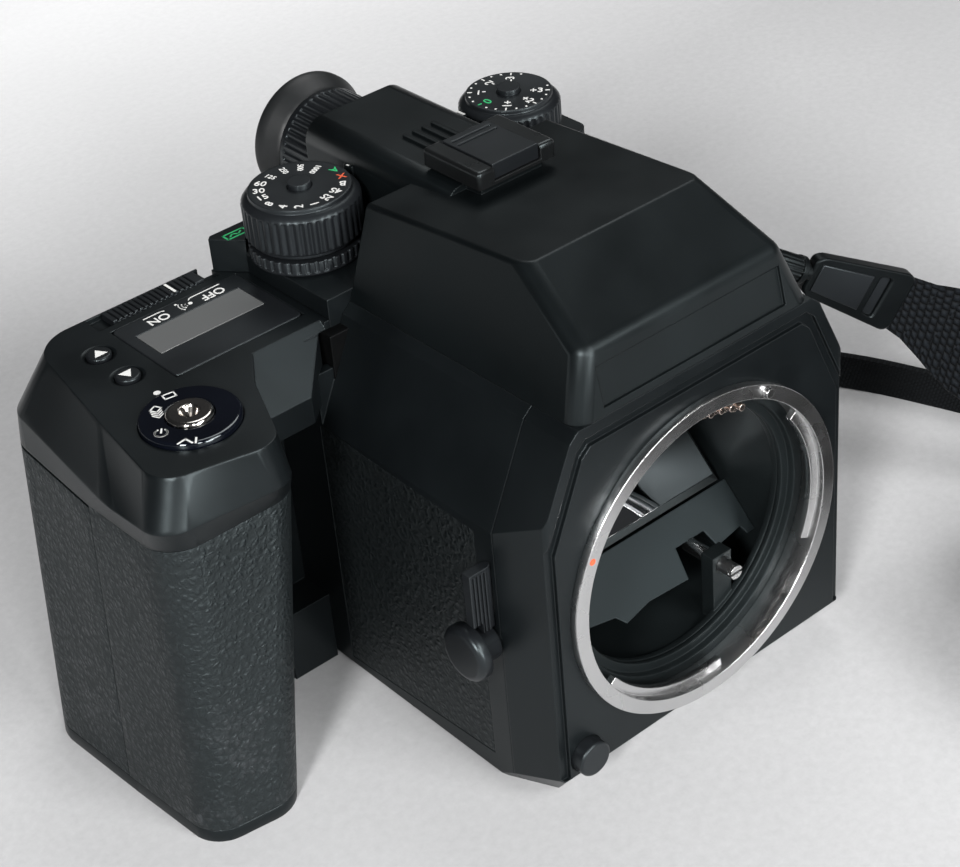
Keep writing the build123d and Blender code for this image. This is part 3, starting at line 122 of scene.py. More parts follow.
def ramp(tree, value, low, high, out_low=0.0, out_high=1.0):
    """A value moved from one range to another and held inside it."""
    inputs = {"Value": value, "From Min": low, "From Max": high, "To Min": out_low, "To Max": out_high}
    return add(tree, "MapRange", inputs).outputs["Result"]


def mixed(tree, share, one, two):
    """Two colours mixed by a share."""
    return add(tree, "Mix", {0: share, 6: one, 7: two}, data_type="RGBA").outputs[2]


def noise(tree, vector, scale, detail=2.0, rough=0.5):
    """Noise from 0 to 1 at a scale in cells per metre."""
    inputs = {"Vector": vector, "Scale": scale, "Detail": detail, "Roughness": rough}
    return add(tree, "TexNoise", inputs).outputs["Fac"]


# Noise scales, in cells per metre
mottle_scale = 45.0
speck_scale = 1500.0
pebble_shift_scale = 520.0
wrinkle_scale = 2600.0
pale_patch_scale = 60.0
turning_scale = 5200.0
metal_grain_scale = 2600.0
metal_smear_scale = 70.0
bloom_scale = 130.0
rubber_grain_scale = 5200.0
glass_smear_scale = 160.0
haze_scale = 90.0
fleck_scale = 3800.0

# Radii of rounded edges, painted lighter on plastic and rubber as wear and a painted highlight, and the
# cosines between which the lighter edge sets in
plastic_edge_r = 0.4
metal_edge_r = 0.3
rubber_edge_r = 0.6
edge_begins = 0.995
edge_full = 0.8
edge_samples = 6
edge_polish = 0.12
rubber_edge_wear_and_highlight = 0.4

# Highlights on black plastic and leather are faintly blue green
cool_tint = (0.83, 0.97, 1.0, 1.0)
leather_shine = 0.42
weave_shine = 0.12
rubber_edge_wear_and_highlight_grey = (0.09, 0.09, 0.095, 1)
glass_ior = 1.5

# Bump depths of the finest grains
metal_grain_depth = 0.006
rubber_grain_depth = 0.02
fleck_depth = 0.01
paper_grain_depth = 0.06

# Leather: how far its pebbles wander, its folds, and the pale grey patches on its pebble tops, fewer higher
# up
pebble_shift = 1.6
crease_share = 0.62
wrinkle_share = 0.35
pale_patch_grey = (0.12, 0.12, 0.13, 1)
pale_patch_top = 45.0
pale_patch_full = 8.0

# Webbing: how far its rows lean and how round its knots are
weave_slant = 0.35
weave_round = 0.6


def tone(color, factor=1.0, lift=0.0):
    """A colour made darker or lighter, as a node takes it."""
    return (*[min(1, c * factor + lift) for c in color], 1)


def paint(name, color, roughness, metallic=0.0):
    """A plain material, with its tree, shader and object coordinates."""
    material = bpy.data.materials.new(name)
    material.use_nodes = True
    tree = material.node_tree
    shader = tree.nodes["Principled BSDF"]
    shader.inputs["Base Color"].default_value = (*color, 1.0)
    shader.inputs["Roughness"].default_value = roughness
    shader.inputs["Metallic"].default_value = metallic
    place = add(tree, "TexCoord").outputs["Object"]
    return material, tree, shader, place


def cool_shine(shader, amount):
    """The amount and tint of a shader's highlights."""
    shader.inputs["Specular IOR Level"].default_value = amount
    shader.inputs["Specular Tint"].default_value = cool_tint


def soft_normal(tree, radius):
    """The normal as if the edges were rounded to a radius."""
    return add(tree, "Bevel", {"Radius": radius * mm}, samples=edge_samples).outputs["Normal"]


def edge_share(tree, radius):
    """How near a spot is to an outer edge, from 0 to 1, and the softened normal there."""
    soft = soft_normal(tree, radius)
    plain = add(tree, "NewGeometry").outputs["Normal"]
    dot = add(tree, "VectorMath", {0: soft, 1: plain}, operation="DOT_PRODUCT").outputs["Value"]
    return ramp(tree, dot, edge_begins, edge_full), soft


def raise_bump(tree, shader, height, depth, strength=1.0, normal=None):
    """Bump on a shader from a height, to a depth."""
    inputs = {"Height": height, "Distance": depth * mm, "Strength": strength}
    if normal is not None:
        inputs["Normal"] = normal
    bump = add(tree, "Bump", inputs).outputs["Normal"]
    tree.links.new(bump, shader.inputs["Normal"])


def moulded(name, color, roughness=0.42, grain=0.16, depth=0.012, wear_and_highlight=0.5, coat=0.0, shine=0.26):
    """Moulded plastic with fine spark grain, faint mottling, dusty specks and polished edges painted lighter,
    as wear and a painted highlight.
    """
    material, tree, shader, place = paint(name, color, roughness)
    edge, soft = edge_share(tree, plastic_edge_r)
    fine = noise(tree, place, 1 / (grain * mm), 3.0, 0.6)
    broad = noise(tree, place, mottle_scale, 4.0)
    base = mixed(tree, ramp(tree, broad, 0.35, 0.65), tone(color, 0.85), tone(color, 1.2))
    speck = ramp(tree, noise(tree, place, speck_scale), 0.7, 0.78, 0, 0.35)
    base = mixed(tree, speck, base, tone(color, 2.2, 0.01))
    # Edges painted lighter: partly wear, partly a painted highlight
    base = mixed(tree, maths(tree, "MULTIPLY", edge, wear_and_highlight), base, tone(color, 2.2, 0.012))
    tree.links.new(base, shader.inputs["Base Color"])
    dull = ramp(tree, broad, 0.3, 0.7, roughness - 0.05, roughness + 0.06)
    gloss = maths(tree, "SUBTRACT", dull, maths(tree, "MULTIPLY", edge, edge_polish))
    tree.links.new(gloss, shader.inputs["Roughness"])
    shader.inputs["Coat Weight"].default_value = coat
    cool_shine(shader, shine)
    raise_bump(tree, shader, fine, depth, 0.6, soft)
    return material


def leather(name, color, cell=1.2, depth=0.16, pale_patch_share=0.0):
    """Grained leather: small soft pebbles of uneven size with fine wrinkles between."""
    material, tree, shader, place = paint(name, color, 0.5)
    inputs = {"Vector": place, "Scale": pebble_shift_scale, "Detail": 3.0}
    shift = vectors(tree, "ADD", add(tree, "TexNoise", inputs).outputs["Color"], (-0.5, -0.5, -0.5))
    inputs = {0: shift, "Scale": pebble_shift * mm}
    moved = vectors(tree, "ADD", place, add(tree, "VectorMath", inputs, operation="SCALE").outputs[0])
    inputs = {"Vector": moved, "Scale": 1 / (cell * mm), "Smoothness": 0.5, "Randomness": 1.0}
    pebble = add(tree, "TexVoronoi", inputs, feature="SMOOTH_F1").outputs["Distance"]
    inputs = {"Vector": moved, "Scale": crease_share / (cell * mm), "Randomness": 1.0}
    crease = add(tree, "TexVoronoi", inputs, feature="DISTANCE_TO_EDGE").outputs["Distance"]
    wrinkle = noise(tree, moved, wrinkle_scale, 3.0, 0.6)
    top = maths(tree, "MULTIPLY", ramp(tree, pebble, 0.75, 0.15), ramp(tree, crease, 0.0, 0.16, 0.35, 1.0))
    height = maths(tree, "ADD", top, maths(tree, "MULTIPLY", wrinkle, wrinkle_share))
    # Pebble tops painted lighter and creases darker: a painted highlight on the tops and painted shade in the
    # creases
    base = mixed(tree, top, tone(color, 0.6), tone(color, 1.35, 0.001))
    # Pale grey patches on the pebble tops, more of them towards the bottom
    if pale_patch_share:
        patch = ramp(tree, noise(tree, place, pale_patch_scale, 6.0, 0.75), 0.5, 0.68)
        patch = maths(tree, "MULTIPLY", patch, maths(tree, "MULTIPLY", top, pale_patch_share))
        level = add(tree, "SeparateXYZ", {0: place}).outputs["Z"]
        patch = maths(tree, "MULTIPLY", patch, ramp(tree, level, pale_patch_top * mm, pale_patch_full * mm))
        base = mixed(tree, patch, base, pale_patch_grey)
    tree.links.new(base, shader.inputs["Base Color"])
    tree.links.new(ramp(tree, top, 0, 1, 0.6, 0.38), shader.inputs["Roughness"])
    cool_shine(shader, leather_shine)
    raise_bump(tree, shader, height, depth)
    return material


def metal(name, color, roughness=0.2, turned_about=None):
    """Bright or painted metal; turned pieces have rings about their axis."""
    material, tree, shader, place = paint(name, color, roughness, 1.0)
    if turned_about:
        flat = vectors(tree, "MULTIPLY", vectors(tree, "SUBTRACT", place, turned_about), (1, 0, 1))
        radius = add(tree, "VectorMath", {0: flat}, operation="LENGTH").outputs["Value"]
        inputs = {"W": radius, "Scale": turning_scale, "Detail": 3.0}
        height = add(tree, "TexNoise", inputs, noise_dimensions="1D").outputs["Fac"]
    else:
        height = noise(tree, place, metal_grain_scale, 4.0, 0.7)
    smear = noise(tree, place, metal_smear_scale, 4.0)
    dull = ramp(tree, smear, 0.3, 0.7, roughness * 0.9, roughness * 1.15)
    tree.links.new(dull, shader.inputs["Roughness"])
    tint = mixed(tree, ramp(tree, smear, 0.35, 0.7), tone(color, 0.93), tone(color))
    tree.links.new(tint, shader.inputs["Base Color"])
    raise_bump(tree, shader, height, metal_grain_depth, 0.5, soft_normal(tree, metal_edge_r))
    return material


def rubber(name, color, roughness=0.62):
    """Soft rubber with a dusty bloom."""
    material, tree, shader, place = paint(name, color, roughness)
    edge, soft = edge_share(tree, rubber_edge_r)
    bloom = ramp(tree, noise(tree, place, bloom_scale, 5.0, 0.65), 0.45, 0.75, 0, 0.3)
    base = mixed(tree, bloom, tone(color), tone(color, 2.4, 0.012))
    # Edges painted lighter grey: partly wear, partly a painted highlight
    base = mixed(tree, maths(tree, "MULTIPLY", edge, rubber_edge_wear_and_highlight), base, rubber_edge_wear_and_highlight_grey)
    tree.links.new(base, shader.inputs["Base Color"])
    grain = noise(tree, place, rubber_grain_scale, 3.0)
    raise_bump(tree, shader, grain, rubber_grain_depth, 0.6, soft)
    return material


def glass(name, tint, roughness=0.02, clear=1.0):
    """Clear or smoked window with faint smears."""
    material, tree, shader, place = paint(name, tint, roughness)
    shader.inputs["Transmission Weight"].default_value = clear
    shader.inputs["IOR"].default_value = glass_ior
    smear = noise(tree, place, glass_smear_scale, 4.0)
    tree.links.new(ramp(tree, smear, 0.4, 0.8, roughness, roughness + 0.08), shader.inputs["Roughness"])
    return material


def mirror_coat(name):
    """Front silvered mirror with a little haze."""
    material, tree, shader, place = paint(name, (0.86, 0.88, 0.9), 0.02, 1.0)
    haze = noise(tree, place, haze_scale, 4.0)
    tree.links.new(ramp(tree, haze, 0.45, 0.8, 0.015, 0.09), shader.inputs["Roughness"])
    return material


def mark_paint(name, color):
    """Filled lettering and index paint."""
    material, tree, shader, place = paint(name, color, 0.45)
    fleck = ramp(tree, noise(tree, place, fleck_scale), 0.3, 0.7)
    tree.links.new(mixed(tree, fleck, tone(color, 0.85), tone(color)), shader.inputs["Base Color"])
    raise_bump(tree, shader, fleck, fleck_depth, 0.4)
    return material


def rounded_wave(tree, value):
    """A rounded rise over each whole number."""
    wave = maths(tree, "ABSOLUTE", maths(tree, "SINE", maths(tree, "MULTIPLY", value, pi)))
    return maths(tree, "POWER", wave, weave_round)


def woven(name, color, row, knot, depth):
    """Woven strap: rows of knots across the band, laid out by the band's own lengths in metres."""
    material, tree, shader, _ = paint(name, color, 0.75)
    uv = add(tree, "SeparateXYZ", {0: add(tree, "TexCoord").outputs["UV"]}).outputs
    along = maths(tree, "DIVIDE", uv["X"], row * mm)
    across = maths(tree, "DIVIDE", uv["Y"], knot * mm)
    slant = maths(tree, "ADD", along, maths(tree, "MULTIPLY", across, weave_slant))
    odd = maths(tree, "MULTIPLY", maths(tree, "FLOOR", slant), 0.5)
    shifted = maths(tree, "ADD", across, odd)
    height = maths(tree, "MULTIPLY", rounded_wave(tree, slant), rounded_wave(tree, shifted))
    # Knots painted lighter and the gaps between them much darker: a painted highlight on the knots and
    # painted shade between them
    base = mixed(tree, height, tone(color, 0.12), tone(color, 2.2))
    tree.links.new(base, shader.inputs["Base Color"])
    shader.inputs["Specular IOR Level"].default_value = weave_shine
    raise_bump(tree, shader, height, depth, 0.9)
    return material


paints = {
    "satin_black": moulded("satin_black", (0.0036, 0.0046, 0.0052), 0.36),
    "cover_grey": moulded("cover_grey", (0.0024, 0.0033, 0.0037), 0.38, grain=0.3, depth=0.022, wear_and_highlight=0.3,
                          shine=0.28),
    "dial_black": moulded("dial_black", (0.0068, 0.0076, 0.0088), 0.34, wear_and_highlight=0.6, shine=0.4),
    "clip_plastic": moulded("clip_plastic", (0.0022, 0.0027, 0.003), 0.36, wear_and_highlight=0.4, shine=0.2),
    "gloss_black": moulded("gloss_black", (0.0025, 0.0032, 0.006), 0.08, depth=0.001, coat=0.5, shine=0.5),
    "inner_black": moulded("inner_black", (0.0042, 0.0056, 0.0060), 0.5, wear_and_highlight=0.25, shine=0.25),
    # Painted light: a lighter copy of the interior black, standing in for the light that reaches into the
    # mirror box
    "box_black": moulded("box_black", (0.0085, 0.0115, 0.0125), 0.55, wear_and_highlight=0.2, shine=0.25),
    "carrier_black": moulded("carrier_black", (0.005, 0.0056, 0.0058), 0.42, wear_and_highlight=0.5, shine=0.4),
    "shoe_metal": moulded("shoe_metal", (0.0055, 0.0058, 0.006), 0.3, wear_and_highlight=0.8, shine=0.45),
    "blade_grey": moulded("blade_grey", (0.02, 0.02, 0.022), 0.5),
    "film_paper": moulded("film_paper", (0.045, 0.045, 0.05), 0.6),
    "grip_leather": leather("grip_leather", (0.0040, 0.0054, 0.0060), 1.25, 0.2, pale_patch_share=0.3),
    "panel_leather": leather("panel_leather", (0.0012, 0.0018, 0.0021), 1.3, 0.24),
    "mount_chrome": metal("mount_chrome", (0.66, 0.66, 0.66), 0.26, at(0, 45, axis_z)),
    "pin_steel": metal("pin_steel", (0.55, 0.55, 0.55), 0.25),
    "button_chrome": metal("button_chrome", (0.56, 0.53, 0.5), 0.14),
    "contact_gold": metal("contact_gold", (0.74, 0.62, 0.55), 0.22),
    "frame_alloy": metal("frame_alloy", (0.012, 0.0125, 0.013), 0.6),
    "cell_label": metal("cell_label", (0.2, 0.21, 0.24), 0.35),
    "mirror_silver": mirror_coat("mirror_silver"),
    # Painted shade: the frosted screen is made nearly black so that the mirror below shows dark
    "screen_frost": moulded("screen_frost", (0.003, 0.0035, 0.0035), 0.7, wear_and_highlight=0.1, shine=0.05),
    "prism_glass": glass("prism_glass", (0.85, 0.9, 0.9), 0.01),
    "lens_glass": glass("lens_glass", (0.5, 0.55, 0.6), 0.01, 0.9),
    "display_glass": glass("display_glass", (0.105, 0.108, 0.108), 0.06, 0.0),
    "soft_rubber": rubber("soft_rubber", (0.0045, 0.0055, 0.006), 0.5),
    "webbing": woven("webbing", (0.0028, 0.0036, 0.0046), 2.1, 1.5, 0.8),
    "narrow_webbing": woven("narrow_webbing", (0.0035, 0.0042, 0.0048), 0.9, 1.2, 0.15),
}
white_mark = mark_paint("white_mark", (0.75, 0.75, 0.73))
green_mark = mark_paint("green_mark", (0.02, 0.42, 0.14))
red_mark = mark_paint("red_mark", (0.72, 0.11, 0.04))


# Mesh building

bevel_segments = 2
piece_bevel_angle = radians(40)
piece_sharp_angle = radians(38)
letter_steps = 4
letter_weight = 0.012
stroke_overrun = 0.4


def soften(obj, width, angle):
    """Rounded edges where an object's faces meet at more than an angle."""
    cut = obj.modifiers.new("edges", "BEVEL")
    cut.width = width * mm
    cut.segments = bevel_segments
    cut.limit_method = "ANGLE"
    cut.angle_limit = angle
    return cut


def mesh_of(curve):
    """The mesh of a curve or of lettering."""
    holder = new_object(curve.name, curve)
    bpy.context.view_layer.update()
    mesh = bpy.data.meshes.new_from_object(holder.evaluated_get(bpy.context.evaluated_depsgraph_get()))
    bpy.data.objects.remove(holder)
    return mesh


class Builder:
    """Collects faces for one piece of the object, in metres in the shared frame."""

    def __init__(self):
        self.mesh = bmesh.new()
        self.uv = self.mesh.loops.layers.uv.new("uv")

    def ring(self, points):
        """New corners at a row of points."""
        return [self.mesh.verts.new(p) for p in points]

    def bridge(self, one, two):
        """Faces between two closed rows of corners."""
        count = len(one)
        for i in range(count):
            j = (i + 1) % count
            self.mesh.faces.new((one[i], one[j], two[j], two[i]))

    def cap(self, ring):
        """One face inside a row of corners."""
        self.mesh.faces.new(ring)

    def prism(self, outline, place, across, up, thickness):
        """A flat shape in two directions, raised by a thickness along their normal."""
        normal = across.cross(up).normalized()
        low = self.ring([place + across * u + up * v for u, v in outline])
        high = self.ring([p.co + normal * thickness for p in low])
        self.bridge(low, high)
        self.cap(high)
        self.cap(list(reversed(low)))

    def turned(self, profile, place, axis, start, steps, wobble):
        """A body of revolution: profile points are radius and length along the axis, in millimetres."""
        side = axis.cross(start)
        rows = []
        for radius, along in ((r * mm, z * mm) for r, z in profile):
            row = []
            for i in range(steps):
                angle = 2 * pi * i / steps
                r = radius + wobble(angle, along)
                row.append(place + axis * along + (start * cos(angle) + side * sin(angle)) * r)
            rows.append(self.ring(row))
        for one, two in zip(rows, rows[1:]):
            self.bridge(one, two)
        self.cap(list(reversed(rows[0])))
        self.cap(rows[-1])

    def text(self, words, size, place, across, up, thickness):
        """Lettering as raised faces, centred on a place."""
        curve = bpy.data.curves.new("letters", "FONT")
        curve.body = words
        curve.size = size
        curve.align_x = "CENTER"
        curve.align_y = "CENTER"
        curve.extrude = thickness / 2
        curve.resolution_u = letter_steps
        curve.offset = size * letter_weight
        mesh = mesh_of(curve)
        basis = Matrix((across, up, across.cross(up))).transposed().to_4x4()
        mesh.transform(Matrix.Translation(place) @ basis)
        self.mesh.from_mesh(mesh)
        bpy.data.meshes.remove(mesh)

    def piece(self, name, material, body, smooth=True, bevel=0.0, replaces=()):
        """The finished piece, riding on a body, with the material it is given."""
        bmesh.ops.recalc_face_normals(self.mesh, faces=self.mesh.faces)
        mesh = bpy.data.meshes.new(name)
        self.mesh.to_mesh(mesh)
        self.mesh.free()
        obj = new_object(name, mesh)
        mesh.materials.append(material)
        if bevel:
            soften(obj, bevel, piece_bevel_angle)
        if smooth:
            mesh.shade_smooth()
            mesh.set_sharp_from_angle(angle=piece_sharp_angle)
        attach(obj, body)
        if replaces:
            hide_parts(*replaces)
        return obj


def around(centre, radius, angle, z):
    """A place on a level circle about x and depth, at an angle in degrees from x."""
    return at(centre[0] + radius * cos(radians(angle)), centre[1] + radius * sin(radians(angle)), z)


def turn(angle):
    """The level direction at an angle in degrees from x."""
    return Vector((cos(radians(angle)), sin(radians(angle)), 0))


def stroke(build, points, width, place, across, up, thickness, closed=False):
    """A painted line of even width through points in two directions, in millimetres."""
    count = len(points)
    for i in range(count if closed else count - 1):
        a = Vector((*points[i], 0))
        b = Vector((*points[(i + 1) % count], 0))
        along = (b - a).normalized()
        side = Vector((-along.y, along.x, 0)) * width / 2
        a, b = a - along * width * stroke_overrun, b + along * width * stroke_overrun
        outline = [a - side, b - side, b + side, a + side]
        build.prism([(p.x * mm, p.y * mm) for p in outline], place, across, up, thickness * mm)


def disc(build, radius, place, across, up, thickness, steps=20):
    """A painted dot."""
    angles = [2 * pi * i / steps for i in range(steps)]
    outline = [(radius * mm * cos(a), radius * mm * sin(a)) for a in angles]
    build.prism(outline, place, across, up, thickness * mm)


# Strap: the route's points are x, depth and the height of its middle

upper_route = [(80.5, 20.4, 62), (97, 12, 48), (115, -6, 31), (131, -30, 19), (140, -55, 15),
               (142.5, -78, 15)]
lower_route = [(153.5, -78, 5), (150, -40, 5), (140, 0, 5), (128, 36, 5), (117, 68, 5), (96, 88, 8),
               (62, 92, 24)]
coil_centre = (93.0, -78.0)
coil_first_r = 22.0
coil_pitch = 11.0
coil_half_turns = 3
coil_steps = 8
strap_w = 30.0
narrow_w = 10.0
narrow_groove = 0.35
strap_t = 2.0
line_steps = 6
webbing_clip_w = 13.0
webbing_widens = 34.0
# The band's section, as shares of its half width and half thickness
band_lip = 0.35
band_shoulder = 0.97
band_groove = 0.4
# The joint's plates, with lengths from the end of the webbing
joint_back = 9.0
joint_shoulder = 5.0
joint_reach = 11.0
joint_inset = 0.6
joint_rise = 2.0
joint_gap = 0.5
joint_t = 1.2


def coil_arm(arm, turns):
    """Points of one arm of the put away double spiral, from its middle outwards."""
    points = []
    inner = (coil_first_r - coil_pitch / 2) / 2
    for i in range(1, coil_steps):
        angle = pi * i / coil_steps
        points.append((-inner + inner * cos(angle), inner * sin(angle)))
    for i in range(turns):
        r = coil_first_r + i * coil_pitch
        side = 1 if i % 2 == 0 else -1
        shift = side * coil_pitch / 2
        for k in range(coil_steps):
            angle = pi * k / coil_steps
            points.append((shift - side * r * cos(angle), -side * r * sin(angle)))
    return [(coil_centre[0] + arm * x, coil_centre[1] + arm * d) for x, d in points]


def smooth_line(route):
    """The points of a smooth curve with a route's points as its control points."""
    curve = bpy.data.curves.new("line", "CURVE")
    curve.dimensions = "3D"
    curve.resolution_u = line_steps
    spline = curve.splines.new("NURBS")
    spline.points.add(len(route) - 1)
    for point, place in zip(spline.points, route):
        point.co = (*at(*place), 1.0)
    spline.order_u = 3
    spline.use_endpoint_u = True
    mesh = mesh_of(curve)
    points = [v.co.copy() for v in mesh.vertices]
    bpy.data.meshes.remove(mesh)
    return points


def wide_route():
    """The webbing's route, from the upper clip through both arms of the coil."""
    height = strap_w / 2
    inward = [(x, d, height) for x, d in reversed(coil_arm(1, coil_half_turns))]
    outward = [(x, d, height) for x, d in coil_arm(-1, coil_half_turns + 1)]
    return upper_route + inward + [(*coil_centre, height)] + outward + [(*lower_route[0][:2], height)]


def length_of(points):
    """The length of a line of points."""
    return sum((b - a).length for a, b in zip(points, points[1:]))


def band_section(half, thick, groove):
    """The corners of a band's section, across and through the band in metres."""
    inner = 1 - groove
    edge = [(-1, band_lip), (-band_shoulder, 1), (-band_groove, inner), (0, 1), (band_groove, inner),
            (band_shoulder, 1), (1, band_lip)]
    return [(half * v, -thick * t) for v, t in edge] + [(half * v, thick * t) for v, t in reversed(edge)]


def band_piece(name, points, width_at, material, groove=0.0):
    """A flat band on edge along points, with its lengths in its map."""
    build = Builder()
    rows = []
    length = 0.0
    for i, point in enumerate(points):
        ahead = points[min(i + 1, len(points) - 1)] - points[max(i - 1, 0)]
        if i:
            length += (point - points[i - 1]).length
        side = ahead.cross(upward).normalized()
        up = side.cross(ahead).normalized()
        section = band_section(width_at(length) / 2 * mm, strap_t / 2 * mm, groove)
        rows.append((build.ring([point + up * v + side * t for v, t in section]), section, length))
    for (one, section, start), (two, _, end) in zip(rows, rows[1:]):
        for i in range(len(one)):
            j = (i + 1) % len(one)
            face = build.mesh.faces.new((one[i], one[j], two[j], two[i]))
            a, b = section[i][0], section[j][0]
            for loop, uv in zip(face.loops, ((start, a), (start, b), (end, b), (end, a))):
                loop[build.uv].uv = uv
    build.cap(list(reversed(rows[0][0])))
    build.cap(rows[-1][0])
    return build.piece(name, material, "camera_body")


def smooth_step(share):
    """A share eased at both ends and held between 0 and 1."""
    share = min(1.0, max(0.0, share))
    return share * share * (3 - 2 * share)


def webbing_width(length):
    """The webbing's width at a length in metres: drawn in at the clip, then full."""
    return webbing_clip_w + (strap_w - webbing_clip_w) * smooth_step(length / (webbing_widens * mm))


def strap_joint():
    """The sewn end where the webbing meets the narrow strap."""
    build = Builder()
    x, d, _ = lower_route[0]
    high = strap_w - joint_inset
    outline = [(-joint_back, joint_inset), (-joint_back, high), (joint_shoulder, high),
               (joint_reach, narrow_w + joint_rise), (joint_reach, joint_inset)]
    for side in (-1, 1):
        start = at(x + side * (strap_t / 2 + joint_gap) - joint_t / 2, d, 0)
        build.prism([(u * mm, v * mm) for u, v in outline], start, rear, upward, joint_t * mm)
    return build.piece("strap_joint", paints["clip_plastic"], "camera_body", bevel=0.3)


# Strap clips, from a stud outwards: a turned catch, then a tapering plate with a slot for the webbing

clip_start = (49.4, 34.0, 82.0)
clip_end = (80.5, 20.4, 62.0)
clip_half_w = 7.6
low_clip_start = (49.6, 92.0, 24.0)
low_clip_end = (62.0, 92.0, 24.0)
low_clip_half_w = 6.2
catch_share = 0.34
catch_ribs = 18
catch_rib_depth = 0.28
clip_plate_t = 3.4
clip_plate_corner = 2.6
clip_plate_behind = 0.8
clip_plate_over = 1.5
clip_narrow_share = 0.62
clip_corner_steps = 5
slot_first = 7.5
slot_last = 4.6
slot_width_share = 0.72
slot_corner = 0.9
web_width_share = 0.7
web_margin = 0.2
web_t = 1.4
pad_first = 2.6
pad_last = 9.5
pad_near_share = 0.44
pad_far_share = 0.58
pad_level = 1.75
pad_t = 0.5


def slotted(build, outer, slot, place, along, wide):
    """A tapering plate with a slot, both given as rounded boxes of length, half width and corner."""
    first, last = outer[0]

    def loop(box, level):
        (l0, l1), half, corner = box
        points = []
        for cx, cy, start in ((l1 - corner, half - corner, 0), (l0 + corner, half - corner, 90),
                              (l0 + corner, corner - half, 180), (l1 - corner, corner - half, 270)):
            for k in range(clip_corner_steps + 1):
                a = radians(start + 90 / clip_corner_steps * k)
                u = cx + corner * cos(a)
                share = clip_narrow_share + (1 - clip_narrow_share) * (u - first) / (last - first)
                points.append((u, (cy + corner * sin(a)) * share))
        side = along.cross(wide)
        return build.ring([place + (along * u + wide * v + side * level) * mm for u, v in points])

    outer_low, outer_high = loop(outer, -clip_plate_t / 2), loop(outer, clip_plate_t / 2)
    slot_low, slot_high = loop(slot, -clip_plate_t / 2), loop(slot, clip_plate_t / 2)
    build.bridge(outer_low, outer_high)
    build.bridge(slot_high, slot_low)
    build.bridge(outer_high, slot_high)
    build.bridge(slot_low, outer_low)


def tapered(first, last, first_half, last_half):
    """Four corners in metres, with a half width at each end."""
    return [(first * mm, -first_half * mm), (last * mm, -last_half * mm), (last * mm, last_half * mm),
            (first * mm, first_half * mm)]


def clip(name, start, end, half_w, replaces=()):
    """A strap's end fitting: hook, knurled catch and the flat body that holds the webbing."""
    place = at(*start)
    along = (at(*end) - place).normalized()
    length = (at(*end) - place).length / mm
    side = along.cross(upward).normalized()
    wide = side.cross(along).normalized()
    catch = length * catch_share
    ribs_first = 1.9
    ribs_last = catch - 2.1
    profile = [(0.01, -2.0), (1.1, -2.0), (1.3, -1.6), (1.3, 1.0), (2.7, 1.4), (3.1, 2.0), (3.1, catch - 2.2),
               (3.3, catch - 2.0), (3.3, catch - 0.8), (2.6, catch - 0.6), (2.0, catch - 0.5),
               (2.0, catch + 1.2), (0.01, catch + 1.2)]

    def knurl(angle, level):
        if not ribs_first < level / mm < ribs_last:
            return 0.0
        return -catch_rib_depth * mm * (0.5 + 0.5 * cos(catch_ribs * angle))

    build = Builder()
    build.turned(profile, place, along, side, 5 * catch_ribs, knurl)
    build.piece(name + "_catch", paints["clip_plastic"], "camera_body", replaces=replaces)
    build = Builder()
    slot = ((length - slot_first, length - slot_last), half_w * slot_width_share, slot_corner)
    plate = ((catch + clip_plate_behind, length + clip_plate_over), half_w, clip_plate_corner)
    slotted(build, plate, slot, place, along, wide)
    build.piece(name + "_body", paints["clip_plastic"], "camera_body", bevel=0.5)
    build = Builder()
    half = half_w * web_width_share
    outline = tapered(slot[0][0] - web_margin, slot[0][1] + web_margin, half, half)
    build.prism(outline, place - side * web_t / 2 * mm, along, wide, web_t * mm)
    build.piece(name + "_web", paints["dial_black"], "camera_body")
    build = Builder()
    outline = tapered(catch + pad_first, length - pad_last, half_w * pad_near_share,
                      half_w * pad_far_share)
    for sign in (-1, 1):
        middle = place + side * sign * pad_level * mm
        build.prism(outline, middle - side * pad_t / 2 * mm, along, wide, pad_t * mm)
    build.piece(name + "_pads", paints["dial_black"], "camera_body", bevel=0.2)


def neck_strap():
    """The strap: wide webbing with its coil, and the narrow end that returns to the rear stud."""
    wide_points = smooth_line(wide_route())
    narrow_points = smooth_line(lower_route)
    wide = band_piece("neck_strap", wide_points, webbing_width, paints["webbing"])
    narrow = band_piece("neck_strap_end", narrow_points, lambda length: narrow_w,
                        paints["narrow_webbing"], groove=narrow_groove)
    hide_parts("strap_upper", "strap_coil")
    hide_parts("strap_lower")
    joint = strap_joint()
    print("strap lengths", round(length_of(wide_points), 4), round(length_of(narrow_points), 4))


neck_strap()
clip("upper_clip", clip_start, clip_end, clip_half_w, ("strap_clips",))
clip("low_clip", low_clip_start, low_clip_end, low_clip_half_w)


# Dials

shutter_centre = (-27.5, 92.5)
comp_centre = (31.0, 92.0)
dial_top = 110.0
paint_t = 0.04
rib_depth = 0.42
rib_steps = 10
rib_shape = 1.6
bore_r = 2.7


